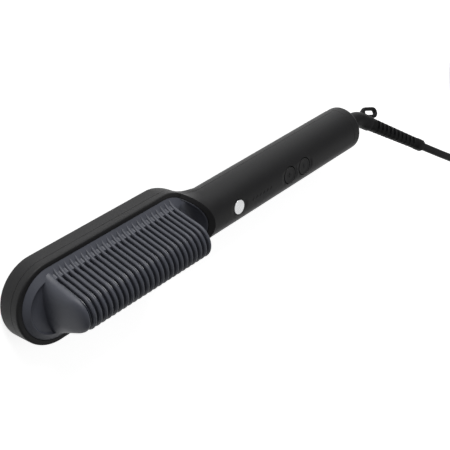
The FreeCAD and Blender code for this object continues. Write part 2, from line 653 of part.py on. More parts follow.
def nose():
    """Blunt nose at the comb's front: arches that grow from a bowed foot to the first slot."""
    rear_x = FIRST_RIB_X + RIB_THICKNESS / 2.0
    base = LEDGE_Z + ROOT
    full = comb_outline(rear_x, 0.0, base, HEAD_DEPTH + NOSE_HEIGHT).OuterWire
    wires = []
    for angle in NOSE_ANGLES:
        back = math.cos(math.radians(angle))
        tall = math.sin(math.radians(angle))
        wide = (1.0 - back ** NOSE_BOW) ** (1.0 / NOSE_BOW)
        shift = (NOSE_BASE_X - rear_x) * back
        wires.append(full.transformGeometry(FreeCAD.Matrix(
            1, 0, 0, shift, 0, wide, 0, 0, 0, 0, tall, base * (1.0 - tall), 0, 0, 0, 1)))
    return Part.makeLoft(wires, True, True)


def comb_base():
    """Plate of the comb: a rim that sits on the ledge and a sloped border up to the plateau."""
    low = stadium(RECESS_TIP_X, HEAD_END_X, COMB_HALF, LEDGE_Z, HEAD_DEPTH)
    foot = stadium_wire(RECESS_TIP_X, HEAD_END_X, COMB_HALF, HEAD_DEPTH)
    plateau = stadium_wire(DISH_CENTRE_X, HEAD_END_X, COMB_HALF - BORDER_WIDTH, PLATEAU_Z)
    border = Part.makeLoft([foot, plateau], True, True)
    dish = cylinder(DISH_RADIUS, BIG, (DISH_CENTRE_X, 0, PLATEAU_Z - DISH_DEPTH))
    dish = dish.cut(block((FIRST_RIB_X, -BIG, 0), (BIG, BIG, BIG)))
    hollow = cylinder(DISH_RADIUS, BIG, (HEAD_END_X - DISH_LAG, 0, PLATEAU_Z - DISH_DEPTH))
    hollow = hollow.cut(block((-BIG, -BIG, 0), (LAST_RIB_X, BIG, BIG)))
    return fused([low, border]).cut([dish, hollow])


def end_wall():
    """Wall of the comb that lines the scoop in the handle's end."""
    outer = cylinder(COMB_HALF, HANDLE_DIAMETER, (HEAD_END_X, 0, LEDGE_Z))
    wall = outer.cut(cylinder(COMB_HALF - END_WALL, BIG, (HEAD_END_X, 0, 0)))
    rise = LIP_FALL * (HANDLE_DIAMETER - HEAD_DEPTH) - END_WALL_DROP
    width = top_width()
    angles = [math.pi * k / CROWN_STEPS for k in range(CROWN_STEPS + 1)]
    crown = [Vector(HEAD_END_X, width * math.cos(a), HEAD_DEPTH + rise * math.sin(a)) for a in angles]
    arch = Part.BSplineCurve()
    arch.interpolate(Points=crown)
    low = [Vector(HEAD_END_X, -width, LEDGE_Z), Vector(HEAD_END_X, width, LEDGE_Z)]
    chain = [crown[-1]] + low + [crown[0]]
    edges = [arch.toShape()] + [Part.LineSegment(a, b).toShape() for a, b in zip(chain, chain[1:])]
    envelope = Part.Face(Part.Wire(edges)).extrude(Vector(2.0 * HEAD_HALF, 0, 0))
    return wall.common(envelope)


def top_width():
    """Half width of the scoop's opening at the rim plane."""
    return RECESS_HALF * math.sqrt(HEAD_HALF ** 2 - (TANGENT_X - HEAD_END_X) ** 2) / HEAD_HALF


def comb_cover():
    """Grey comb: plate, border, nose, ribs, skirts, end wall and two screw bosses."""
    pieces = [comb_base(), skirt(), nose(), end_wall()]
    body = fused(pieces)
    window = block((FIRST_RIB_X + RIB_THICKNESS / 2.0, -WINDOW_HALF, 0),
                   (LAST_RIB_X, WINDOW_HALF, BIG))
    body = body.cut(window)
    ribs = [rib(FIRST_RIB_X + k * RIB_PITCH, k == RIB_COUNT - 1) for k in range(1, RIB_COUNT)]
    bosses = []
    for x, top in screw_places()[:2]:
        low_z = HANDLE_WALL + REAR_BOSS_HEIGHT + BOSS_GAP
        bosses.append(cylinder(SCREW_BOSS_RADIUS, LEDGE_Z + ROOT - low_z, (x, 0, low_z)))
    body = fused([body] + ribs + bosses)
    cuts = [cylinder(HOUSING_SCREW_RADIUS, top, (x, 0, 0)) for x, top in screw_places()[:2]]
    bite = HEATER_SCREW_LENGTH - FLANGE_THICKNESS
    cuts += [cylinder(HEATER_SCREW_BITE, bite, (x, y, LEDGE_Z)) for x, y in heater_screw_places()]
    return body.cut(cuts)


# ---------------------------------------------------------------- heater
def heater_screw_places():
    """The four screws that hold the aluminium base to the comb."""
    front_run, rear_run = HEATER_SCREW_RUNS
    place = FLANGE_HALF_WIDTH - HEATER_SCREW_EDGE
    return [(x, y) for x in (FIRST_RIB_X + front_run, LAST_RIB_X - rear_run) for y in (-place, place)]


def flange_block(low_z, high_z):
    """Flat plate with the casting's outline, with holes for the four heater screws."""
    plate = block((WINDOW_FRONT - FLANGE_OVERHANG, -FLANGE_HALF_WIDTH, low_z),
                  (WINDOW_REAR + FLANGE_OVERHANG, FLANGE_HALF_WIDTH, high_z))
    return plate.cut([cylinder(HEATER_SCREW_HOLE, high_z - low_z, (x, y, low_z))
                      for x, y in heater_screw_places()])


def strip_block(low_z, high_z, along=0.0, across=0.0):
    """Block with the ceramic strip's outline, or wider by a gap."""
    return block((WINDOW_FRONT + HEATER_END_GAP - along, -HEATER_WIDTH / 2.0 - across, low_z),
                 (WINDOW_REAR - HEATER_END_GAP + along, HEATER_WIDTH / 2.0 + across, high_z))


def heating_plate():
    """Coated aluminium casting: flange, dome inside the arches and a fin in every slot."""
    crest_z = HEAD_DEPTH + RIB_HEIGHT - RIB_TIP_DROP
    dome = comb_outline(WINDOW_FRONT, DOME_OFFSET, FLANGE_Z, crest_z, False)
    dome = dome.extrude(Vector(WINDOW_REAR - WINDOW_FRONT, 0, 0))
    fins = []
    for k in range(RIB_COUNT - 1):
        x = FIRST_RIB_X + (k + 0.5) * RIB_PITCH
        face = comb_outline(x - FIN_THICKNESS / 2.0, FIN_DROP, HEAD_DEPTH,
                            HEAD_DEPTH + rib_height(x), False)
        fins.append(face.extrude(Vector(FIN_THICKNESS, 0, 0)))
    body = fused([flange_block(FLANGE_Z, LEDGE_Z), dome] + fins)
    depth = CLAMP_THICKNESS + HEATER_THICKNESS
    return body.cut(strip_block(FLANGE_Z, FLANGE_Z + depth, POCKET_GAP[0], POCKET_GAP[1]))


def ceramic_heater():
    """Ceramic heating strip pressed against the casting's pocket."""
    low = FLANGE_Z + CLAMP_THICKNESS
    return strip_block(low, low + HEATER_THICKNESS)


def heater_clamp():
    """Aluminium bar that closes the pocket under the ceramic strip."""
    return strip_block(FLANGE_Z, FLANGE_Z + CLAMP_THICKNESS)


def insulation_sheet():
    """Mica sheet under the casting."""
    return flange_block(MICA_Z, FLANGE_Z)


def pan_head_screw(place, seat_z, head, shank_radius, length, way):
    """Screw with a flat head; its shank goes from the seat up (1) or down (-1)."""
    head_radius, head_height = head
    head_low = seat_z - head_height if way > 0 else seat_z
    shank_low = seat_z - head_height / 2.0 if way > 0 else seat_z - length
    return fused([cylinder(head_radius, head_height, (place[0], place[1], head_low)),
                  cylinder(shank_radius, length + head_height / 2.0, (place[0], place[1], shank_low))])


def heater_screws():
    """Four pan-head screws from below the mica sheet."""
    length = HEATER_SCREW_LENGTH - SCREW_END_GAP
    return Part.makeCompound([pan_head_screw(place, MICA_Z, HEATER_SCREW_HEAD, HEATER_SCREW_RADIUS, length, 1)
                              for place in heater_screw_places()])


def temperature_sensor():
    """Thermistor bead held against the mica sheet."""
    length, width, height = SENSOR_SIZE
    low_x = WINDOW_REAR - SENSOR_RUN
    return block((low_x, -SENSOR_PLACE - width / 2.0, MICA_Z - height),
                 (low_x + length, -SENSOR_PLACE + width / 2.0, MICA_Z))


def thermal_fuse():
    """One-shot fuse that lies under the mica sheet."""
    return cylinder(FUSE_RADIUS, FUSE_LENGTH,
                    (WINDOW_REAR - FUSE_RUN, SENSOR_PLACE, MICA_Z - FUSE_RADIUS), ALONG)


# ---------------------------------------------------------------- controls and electronics
def button(place, radius):
    """Cap flush with the handle, a collar that keeps it in and a stem over its switch."""
    collar_radius = radius + BUTTON_COLLAR
    shell_under = AXIS_Z + math.sqrt(INNER_RADIUS ** 2 - collar_radius ** 2)
    collar_top = shell_under - COLLAR_GAP
    collar_low = collar_top - BUTTON_COLLAR_DEPTH
    stem_low = BOARD_TOP + SWITCH_PLUNGER + BUTTON_TRAVEL + BUTTON_PRE_TRAVEL
    cap = cylinder(radius, HANDLE_DIAMETER, (place, 0, collar_low))
    cap = cap.common(cylinder(HANDLE_RADIUS, BIG, (0, 0, AXIS_Z), ALONG))
    collar = cylinder(collar_radius, BUTTON_COLLAR_DEPTH, (place, 0, collar_low))
    stem = cylinder(BUTTON_STEM_RADIUS, collar_top - stem_low, (place, 0, stem_low))
    return fused([cap, collar, stem])


def light_guide():
    """Clear bar under the shell with one slanted peg for each light."""
    half = LIGHT_BAR_WIDTH / 2.0
    bar_top = AXIS_Z + math.sqrt(INNER_RADIUS ** 2 - half ** 2) - SEAT_GAP
    bar_low = bar_top - LIGHT_BAR_DEPTH
    places = light_places()
    bar = block((places[0] - LIGHT_BAR_END, -half, bar_low), (places[-1] + LIGHT_BAR_END, half, bar_top))
    surface = cylinder(HANDLE_RADIUS - PEG_DROP, BIG, (0, 0, AXIS_Z), ALONG)
    pegs = [slanted_peg(x, bar_top - SEAT_GAP, HANDLE_DIAMETER, 0.0).common(surface) for x in places]
    return fused([bar] + pegs)


def indicator_leds():
    """Six chip lights on the board, under the light guide's pegs."""
    solids = []
    for x in light_places():
        solids.append(block((x - LED_SIZE[0] / 2.0, -LED_SIZE[1] / 2.0, BOARD_TOP),
                            (x + LED_SIZE[0] / 2.0, LED_SIZE[1] / 2.0, BOARD_TOP + LED_SIZE[2])))
    return Part.makeCompound(solids)


def tact_switches():
    """One push switch under each button."""
    solids = []
    half = SWITCH_SIZE / 2.0
    for name, place, radius in button_specs():
        case = block((place - half, -half, BOARD_TOP), (place + half, half, BOARD_TOP + SWITCH_BODY))
        plunger = cylinder(SWITCH_PLUNGER_RADIUS, SWITCH_PLUNGER, (place, 0, BOARD_TOP))
        solids.append(fused([case, plunger]))
    return Part.makeCompound(solids)


def main_board():
    """Circuit board, screwed to two posts of the rear housing."""
    board = block((BOARD_START_X, -BOARD_HALF, BOARD_BOTTOM), (BOARD_END_X, BOARD_HALF, BOARD_TOP))
    return board.cut([cylinder(BOARD_SCREW_RADIUS + SCREW_CLEARANCE, BOARD_THICKNESS, (x, y, BOARD_BOTTOM))
                      for x, y in BOARD_SCREWS])


def board_screws():
    """Two small screws through the board."""
    radius = BOARD_SCREW_RADIUS - SCREW_FIT
    return Part.makeCompound([pan_head_screw(place, BOARD_TOP, BOARD_SCREW_HEAD, radius,
                                             BOARD_SCREW_LENGTH, -1) for place in BOARD_SCREWS])


def filter_capacitor():
    """Mains filter capacitor under the board."""
    half = CAPACITOR_WIDTH / 2.0
    return block((CAPACITOR_X, -half, CAPACITOR_Z), (CAPACITOR_X + CAPACITOR_LENGTH, half, BOARD_BOTTOM))


def wire_pair(front, rear):
    """Two straight insulated wires, mirrored about the centre plane."""
    way = Vector(*rear) - Vector(*front)
    wire = cylinder(WIRE_RADIUS, way.Length, front, way)
    return Part.makeCompound([wire, mirror_y(wire)])


def supply_leads():
    """Live and neutral wires from the swivel's bore, past the screw boss, to the board's underside."""
    z = BOARD_BOTTOM - WIRE_RADIUS - WIRE_GAP
    boss_y = SCREW_BOSS_RADIUS + WIRE_RADIUS + 2.0 * WIRE_GAP
    bore_y = math.sqrt((JOURNAL_BORE - WIRE_RADIUS - WIRE_GAP) ** 2 - (z - AXIS_Z) ** 2)
    slope = (bore_y - boss_y) / (SPIGOT_X - HANDLE_SCREW_X)
    ends = [(x, boss_y + slope * (x - HANDLE_SCREW_X), z)
            for x in (BOARD_END_X - SUPPLY_END, SEAM_X + SUPPLY_REACH)]
    return wire_pair(ends[0], ends[1])


def heater_leads():
    """Two wires from the board's underside down and forward, under the mica sheet's rear edge."""
    edge_x = WINDOW_REAR + FLANGE_OVERHANG
    edge_z = MICA_Z - WIRE_RADIUS - WIRE_GAP
    rear_x = BOARD_START_X + HEATER_WIRE_RUN
    rear_z = BOARD_BOTTOM - WIRE_RADIUS - WIRE_GAP
    front_x = WINDOW_REAR - HEATER_WIRE_START
    front_z = edge_z - (rear_z - edge_z) * (edge_x - front_x) / (rear_x - edge_x)
    return wire_pair((front_x, HEATER_WIRE_PLACE, front_z), (rear_x, HEATER_WIRE_PLACE, rear_z))


def housing_screws():
    """Four screws that go in from the back."""
    head = (HOUSING_SCREW_HEAD, HEAD_THICKNESS)
    return Part.makeCompound([pan_head_screw((x, 0), SCREW_RECESS, head, HOUSING_SCREW_RADIUS - SCREW_FIT,
                                             top - SCREW_RECESS - SCREW_END_GAP, 1)
                              for x, top in screw_places()])


# ---------------------------------------------------------------- end cap and swivel
def end_cap():
    """Rounded cap with a spigot inside the handle and the bore that carries the swivel."""
    profile = [(SEAM_X, 0), (SEAM_X, HANDLE_RADIUS)]
    for k in range(CAP_EDGE_STEPS + 1):
        turn = math.pi / 2.0 * k / CAP_EDGE_STEPS
        profile.append((BODY_LENGTH - CAP_EDGE_RADIUS * (1.0 - math.sin(turn)),
                        HANDLE_RADIUS - CAP_EDGE_RADIUS * (1.0 - math.cos(turn))))
    profile.append((BODY_LENGTH, 0))
    corners = [Vector(x, 0, AXIS_Z + r) for x, r in profile]
    outline = Part.Face(Part.makePolygon(corners + corners[:1]))
    flange = outline.revolve(Vector(0, 0, AXIS_Z), ALONG, 360)
    reach = OVERLAP + CAP_SPIGOT_LENGTH
    spigot = cylinder(INNER_RADIUS - CAP_SPIGOT_GAP, reach, (SPIGOT_X, 0, AXIS_Z), ALONG)
    cavity = cylinder(JOURNAL_RADIUS + RETAINER_WIDTH + CAVITY_GAP, CAP_PLATE, (SPIGOT_X, 0, AXIS_Z), ALONG)
    bore = cylinder(JOURNAL_RADIUS + JOURNAL_GAP, BIG, (SPIGOT_X, 0, AXIS_Z), ALONG)
    screw_x, screw_top = screw_places()[3]
    hole = cylinder(HOUSING_SCREW_RADIUS, screw_top, (screw_x, 0, 0))
    return fused([flange, spigot]).cut([cavity, bore, hole])


def bend_point():
    """Centre of the elbow."""
    return Vector(BODY_LENGTH + BEND_X, 0, AXIS_Z)


def cord_direction():
    """Direction in which the neck sends the cord off."""
    yaw = math.radians(NECK_YAW)
    pitch = math.radians(NECK_PITCH)
    return Vector(math.cos(pitch) * math.cos(yaw), math.cos(pitch) * math.sin(yaw), math.sin(pitch))


def loop_axes():
    """Directions along and away from the elbow in the plane of the hanging loop."""
    along = ALONG + cord_direction()
    along.normalize()
    side = ALONG.cross(cord_direction())
    side.normalize()
    away = side.cross(along) * -1.0
    if away.y < 0:
        away = away.negative()
    return along, away, side


def loop_point(a, b, c):
    """Point given along, away from and across the loop's plane, from the bend."""
    along, away, side = loop_axes()
    return bend_point() + along * a + away * b + side * c


def loop_stadium(length, height, low, thick):
    """Flat stadium in the loop's plane."""
    half = (length - height) / 2.0
    radius = height / 2.0
    ca, cb = LOOP_CENTRE
    p = [loop_point(ca - half, cb + radius, low), loop_point(ca - half - radius, cb, low),
         loop_point(ca - half, cb - radius, low), loop_point(ca + half, cb - radius, low),
         loop_point(ca + half + radius, cb, low), loop_point(ca + half, cb + radius, low)]
    edges = [Part.Arc(p[0], p[1], p[2]).toShape(), Part.LineSegment(p[2], p[3]).toShape(),
             Part.Arc(p[3], p[4], p[5]).toShape(), Part.LineSegment(p[5], p[0]).toShape()]
    along, away, side = loop_axes()
    return Part.Face(Part.Wire(edges)).extrude(side * thick)


def hanging_loop():
    """Flat loop on the outer side of the elbow, with a web down to the neck."""
    length, height = LOOP_HOLE
    low = -LOOP_THICKNESS / 2.0
    outer = loop_stadium(length + 2.0 * LOOP_BAR, height + 2.0 * LOOP_BAR, low, LOOP_THICKNESS)
    left = LOOP_CENTRE[0] - length / 2.0 - LOOP_BAR
    corners = [(left - 2.0, -1.0), (left + 3.0, LOOP_CENTRE[1] + 1.5),
               (LOOP_CENTRE[0], LOOP_CENTRE[1] - height / 2.0 - 0.5), (LOOP_CENTRE[0] + 4.0, -1.5),
               (left + 2.0, -4.0)]
    points = [loop_point(a, b, low) for a, b in corners]
    along, away, side = loop_axes()
    web = Part.Face(Part.makePolygon(points + points[:1])).extrude(side * LOOP_THICKNESS)
    hole = loop_stadium(length, height, low - 1.0, LOOP_THICKNESS + 2.0)
    return fused([outer, web]).cut(hole)


def swivel_neck():
    """Elbow that turns in the end cap, with the hanging loop on its outer side."""
    bend = bend_point()
    taper_x = BODY_LENGTH + NECK_STRAIGHT
    journal = cylinder(JOURNAL_RADIUS, taper_x - SPIGOT_X, (SPIGOT_X, 0, AXIS_Z), ALONG)
    taper = Part.makeCone(JOURNAL_RADIUS, NECK_RADIUS, bend.x - taper_x,
                          Vector(taper_x, 0, AXIS_Z), ALONG)
    elbow = Part.makeSphere(NECK_RADIUS + ELBOW_SWELL, bend)
    outlet = Part.makeCylinder(NECK_RADIUS, NECK_LENGTH, bend, cord_direction())
    body = fused([journal, taper, elbow, outlet, hanging_loop()])
    bore = cylinder(JOURNAL_BORE, BORE_END - SPIGOT_X, (SPIGOT_X, 0, AXIS_Z), ALONG)
    slot = ring(JOURNAL_RADIUS + OVERLAP, JOURNAL_RADIUS - RETAINER_BITE - CAP_SPIGOT_GAP,
                (RETAINER_X, 0, AXIS_Z), RETAINER_THICKNESS)
    return body.cut([bore, slot])


def swivel_retainer():
    """Open ring that snaps in the journal's groove behind the end cap's plate."""
    clip = ring(JOURNAL_RADIUS + RETAINER_WIDTH, JOURNAL_RADIUS - RETAINER_BITE,
                (RETAINER_X, 0, AXIS_Z), RETAINER_THICKNESS)
    half = RETAINER_OPENING / 2.0
    return clip.cut(block((0, -half, AXIS_Z), (BIG, half, HANDLE_DIAMETER)))


def relief_start():
    """Place where the strain relief leaves the neck."""
    return bend_point() + cord_direction() * NECK_LENGTH


def relief_end():
    """Place where the cord leaves the strain relief."""
    return relief_start() + cord_direction() * RELIEF_LENGTH


def strain_relief():
    """Tapered sleeve, slotted from two sides, with a solid spine along each of the others."""
    axis = cord_direction()
    start = relief_start()
    taper = Part.makeCone(RELIEF_START_RADIUS, RELIEF_END_RADIUS,
                          RELIEF_LENGTH - RELIEF_COLLAR_LENGTH / 2.0, start, axis)
    collar_start = start + axis * (RELIEF_LENGTH - RELIEF_COLLAR_LENGTH)
    collar = Part.makeCylinder(RELIEF_COLLAR_RADIUS, RELIEF_COLLAR_LENGTH, collar_start, axis)
    body = fused([taper, collar])
    along, away, side = loop_axes()
    across = axis.cross(side)
    reach = RELIEF_START_RADIUS + OVERLAP
    cuts = []
    for k in range(RELIEF_SLOTS):
        low = start + axis * (RELIEF_FIRST_SLOT + k * RELIEF_SLOT_PITCH)
        for sign in (-1.0, 1.0):
            near = low + across * (sign * RELIEF_SPINE)
            far = low + across * (sign * reach)
            corners = [near - side * reach, near + side * reach, far + side * reach, far - side * reach]
            slot = Part.Face(Part.makePolygon(corners + corners[:1]))
            cuts.append(slot.extrude(axis * RELIEF_SLOT_WIDTH))
    return body.cut(cuts).cut(swivel_neck())


# ---------------------------------------------------------------- cord, coil and plug
def tube(points, radius):
    """Round tube along straight runs joined by tangent arcs."""
    edges = []
    here = points[0]
    radii = []
    for before, corner, after in zip(points, points[1:], points[2:]):
        into = corner - before
        out = after - corner
        shorter = min(into.Length, out.Length)
        into.normalize()
        out.normalize()
        turn = into.getAngle(out)
        reach = BEND_SHARE * shorter
        bend = reach / math.tan(turn / 2.0)
        start = corner - into * reach
        end = corner + out * reach
        inward = out - into
        inward.normalize()
        centre_gap = bend / math.cos(turn / 2.0)
        middle = corner + inward * (centre_gap - bend)
        edges.append(Part.LineSegment(here, start).toShape())
        edges.append(Part.Arc(start, middle, end).toShape())
        here = end
        radii.append(round(bend, 1))
    edges.append(Part.LineSegment(here, points[-1]).toShape())
    path = Part.Wire(edges)
    way = points[1] - points[0]
    profile = Part.Wire([Part.Circle(points[0], way, radius).toShape()])
    solid = path.makePipeShell([profile], True, False, 0)
    ideal = math.pi * radius ** 2 * path.Length
    print("bend radii", radii, "length", round(path.Length, 1),
          "volume over section times length", round(solid.Volume / ideal, 4))
    return solid


def route_points():
    """Corner points of the cord from the strain relief to the coil."""
    end = relief_end()
    out = end + cord_direction() * CORD_FIRST_RUN
    return [end, out] + [Vector(end.x + dx, end.y + dy, z) for dx, dy, z in CORD_ROUTE]


def coil_centre():
    """Centre of the coil: the cord reaches its outer turn on the -Y side."""
    last = route_points()[-1]
    return Vector(last.x, last.y + COIL_TURN_RADII[-1], 0)


def power_cord():
    """The cord from the strain relief to the coil."""
    return tube(route_points(), CORD_RADIUS)


def cord_coil():
    """Outer shape of the tied coil of spare cord."""
    centre = coil_centre()
    outer = COIL_TURN_RADII[-1] + CORD_RADIUS
    inner = COIL_TURN_RADII[0] - CORD_RADIUS
    height = CORD_FLOOR_GAP + COIL_LAYERS * CORD_DIAMETER
    coil = ring(outer, inner, (centre.x, centre.y, CORD_FLOOR_GAP), height - CORD_FLOOR_GAP, UP)
    return coil.makeChamfer(CORD_RADIUS / 2.0, coil.Edges)


def cord_tie():
    """Strap round one side of the coil."""
    centre = coil_centre()
    half = TIE_WIDTH / 2.0
    outer = centre.y + COIL_TURN_RADII[-1] + CORD_RADIUS + TIE_GAP
    hollow = COIL_TURN_RADII[0] - CORD_RADIUS
    inner = centre.y + math.sqrt(hollow ** 2 - half ** 2) - TIE_GAP
    top = CORD_FLOOR_GAP + COIL_LAYERS * CORD_DIAMETER + TIE_GAP
    band = block((centre.x - half, inner - TIE_THICKNESS, TIE_FLOOR[0]),
                 (centre.x + half, outer + TIE_THICKNESS, top + TIE_THICKNESS))
    hole = block((centre.x - TIE_WIDTH, inner, TIE_FLOOR[1]), (centre.x + TIE_WIDTH, outer, top))
    return band.cut(hole)


def tail_points():
    """Corner points of the cord from the coil to the plug."""
    centre = coil_centre()
    return [Vector(centre.x + dx, centre.y + dy, z) for dx, dy, z in TAIL_ROUTE]


def plug_tail():
    """The cord from the coil to the plug."""
    return tube(tail_points(), CORD_RADIUS)


def plug_frame():
    """Rear end of the plug and the direction in which it points, level with the floor."""
    points = tail_points()
    way = points[-1] - points[-2]
    way = Vector(way.x, way.y, 0)
    way.normalize()
    return points[-1], way


def plug_section(distance, width, thickness):
    """Bevelled outline across the plug at a distance from its rear."""
    origin, way = plug_frame()
    side = UP.cross(way)
    centre = origin + way * distance
    bevel = PLUG_CHAMFER * thickness
    a = width / 2.0
    b = thickness / 2.0
    quarter = [(a, b - bevel), (a - bevel, b)]
    outline = quarter + [(-y, z) for y, z in quarter[::-1]]
    outline += [(-y, -z) for y, z in outline]
    corners = [centre + side * y + UP * z for y, z in outline]
    return Part.makePolygon(corners + corners[:1])


def plug_body():
    """Flat two-pin plug, narrow at the cord and wide at the pins."""
    wires = []
    for share, wide, thick in PLUG_SECTIONS:
        width = PLUG_NECK + (PLUG_WIDTH - PLUG_NECK) * wide
        thickness = PLUG_NECK + (PLUG_THICKNESS - PLUG_NECK) * thick
        wires.append(plug_section(PLUG_LENGTH * share, width, thickness))
    return Part.makeLoft(wires, True, True)


def plug_pins():
    """Two round pins with bevelled tips."""
    origin, way = plug_frame()
    side = UP.cross(way)
    pins = []
    for sign in (-1.0, 1.0):
        start = origin + way * PLUG_LENGTH + side * (sign * PIN_SPACING / 2.0)
        shank = cylinder(PIN_RADIUS, PIN_LENGTH - PIN_TIP, start, way)
        tip = Part.makeCone(PIN_RADIUS, PIN_RADIUS - PIN_TIP, PIN_TIP,
                            start + way * (PIN_LENGTH - PIN_TIP), way)
        pins.append(fused([shank, tip]))
    return Part.makeCompound(pins)


# ---------------------------------------------------------------- assembly
def make_parts():
    """Every node by name, in the frame whose X starts at the head's tip."""
    shell = housing_shell()
    parts = {
        "rear_housing": rear_housing(shell),
        "front_housing": front_housing(shell),
        "comb_cover": comb_cover(),
        "heating_plate": heating_plate(),
        "ceramic_heater": ceramic_heater(),
        "heater_clamp": heater_clamp(),
        "insulation_sheet": insulation_sheet(),
        "heater_screws": heater_screws(),
        "temperature_sensor": temperature_sensor(),
        "thermal_fuse": thermal_fuse(),
        "light_guide": light_guide(),
        "indicator_leds": indicator_leds(),
        "tact_switches": tact_switches(),
        "main_board": main_board(),
        "board_screws": board_screws(),
        "filter_capacitor": filter_capacitor(),
        "supply_leads": supply_leads(),
        "heater_leads": heater_leads(),
        "housing_screws": housing_screws(),
        "end_cap": end_cap(),
        "swivel_neck": swivel_neck(),
        "swivel_retainer": swivel_retainer(),
        "strain_relief": strain_relief(),
        "power_cord": power_cord(),
        "cord_coil": cord_coil(),
        "cord_tie": cord_tie(),
        "plug_tail": plug_tail(),
        "plug_body": plug_body(),
        "plug_pins": plug_pins(),
    }
    for name, place, radius in button_specs():
        parts[name] = button(place, radius)
    return parts


CORD_NODES = ("strain_relief", "power_cord", "cord_coil", "cord_tie", "plug_tail", "plug_body",
              "plug_pins")


def main():
    """Build the nodes, move the origin to the brush's bottom centre and write the files."""
    os.makedirs("parts", exist_ok=True)
    parts = make_parts()
    boxes = [shape.optimalBoundingBox(False) for name, shape in parts.items()
             if name not in CORD_NODES]
    middle_x = (min(b.XMin for b in boxes) + max(b.XMax for b in boxes)) / 2.0
    middle_y = (min(b.YMin for b in boxes) + max(b.YMax for b in boxes)) / 2.0
    print("origin from the head's tip", round(middle_x, 4), round(middle_y, 4))
    for name, shape in parts.items():
        shape.translate(Vector(-middle_x, -middle_y, 0))
        solids = shape.Solids
        valid = all(s.isValid() for s in solids)
        box = shape.BoundBox
        print(name, "solids", len(solids), "valid", valid, "volume", round(shape.Volume, 1),
              "box", [round(v, 2) for v in (box.XMin, box.YMin, box.ZMin, box.XMax, box.YMax, box.ZMax)])
        shape.exportStep("parts/" + name + ".step")


main()
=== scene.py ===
"""Hair straightener brush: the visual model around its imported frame, in metres."""
import math

import bmesh
import bpy
import numpy as np
from mathutils import Matrix, Vector


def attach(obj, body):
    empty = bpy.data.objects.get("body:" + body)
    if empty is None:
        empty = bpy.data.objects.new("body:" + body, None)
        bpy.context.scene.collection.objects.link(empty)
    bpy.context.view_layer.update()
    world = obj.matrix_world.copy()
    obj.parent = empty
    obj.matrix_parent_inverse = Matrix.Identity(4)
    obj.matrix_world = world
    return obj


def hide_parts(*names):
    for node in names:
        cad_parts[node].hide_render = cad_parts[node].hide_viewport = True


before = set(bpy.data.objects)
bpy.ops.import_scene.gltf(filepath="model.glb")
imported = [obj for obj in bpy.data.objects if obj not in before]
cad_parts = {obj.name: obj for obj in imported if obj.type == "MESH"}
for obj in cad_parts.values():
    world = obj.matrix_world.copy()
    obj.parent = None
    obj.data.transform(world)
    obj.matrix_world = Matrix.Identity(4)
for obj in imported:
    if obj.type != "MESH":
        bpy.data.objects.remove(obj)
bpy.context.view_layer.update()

# ------------------------------------------------------------------ Camera
# A short telephoto stands above the head's tip, on the handle's lit side, and looks along the
# brush towards its cord.
lens = bpy.data.cameras.new("camera")
lens.lens = 78.67
lens.sensor_width = 36.0
lens.clip_start = 0.01
camera = bpy.data.objects.new("camera", lens)
right = Vector((0.65449735, -0.08976245, 0.75071694))
up = Vector((0.41564084, 0.87214329, -0.25808677))
back = Vector((-0.63156624, 0.48094572, 0.60812441))
camera_axes = Matrix((right, up, back)).transposed().to_4x4()
camera.matrix_world = Matrix.Translation((-0.4080, 0.2895, 0.40506)) @ camera_axes
bpy.context.scene.collection.objects.link(camera)
bpy.context.scene.camera = camera
bpy.context.scene.view_settings.view_transform = "Standard"

# ------------------------------------------------------------------ Table and lamps
# A pale table top under a large soft lamp on the handle's lit side and a weaker one across from
# it, with an even pale surround. The table is white to the camera and keeps the brush's shadow.
FLOOR_HALF = 20.0
FLOOR_Z = -0.0004
FLOOR_DARK = "#E4E4E4"
FLOOR_LIGHT = "#E8E8E8"
FLOOR_GLOW = 0.72
KEY_POWER = 18.0
FILL_POWER = 2.5
LAMP_TARGET = (0.0, 0.0, 0.02)
SURROUND = 0.31


def linear(code):
    """Colour from an sRGB hex code, as linear red, green, blue and alpha."""
    share = np.array([int(code[k:k + 2], 16) for k in (1, 3, 5)]) / 255.0
    low = share / 12.92
    high = ((share + 0.055) / 1.055) ** 2.4
    return (*np.where(share <= 0.04045, low, high).tolist(), 1.0)


def node(tree, kind, inputs=(), **settings):
    """Add a shader node. Settings are its own properties; inputs pair a socket's name or number
    with a value, or with another node's output to link."""
    made = tree.nodes.new("ShaderNode" + kind)
    for key, value in settings.items():
        setattr(made, key, value)
    for key, value in dict(inputs).items():
        if isinstance(value, bpy.types.NodeSocket):
            tree.links.new(value, made.inputs[key])
        else:
            made.inputs[key].default_value = value
    return made


def seen_directly(tree):
    """1 where a ray comes from the camera, a mirror or a clear piece, and 0 elsewhere."""
    path = node(tree, "LightPath")
    either = node(tree, "Math", {0: path.outputs["Is Camera Ray"],
                                 1: path.outputs["Is Glossy Ray"]}, operation="MAXIMUM")
    return node(tree, "Math", {0: either.outputs[0], 1: path.outputs["Is Transmission Ray"]},
                operation="MAXIMUM").outputs[0]


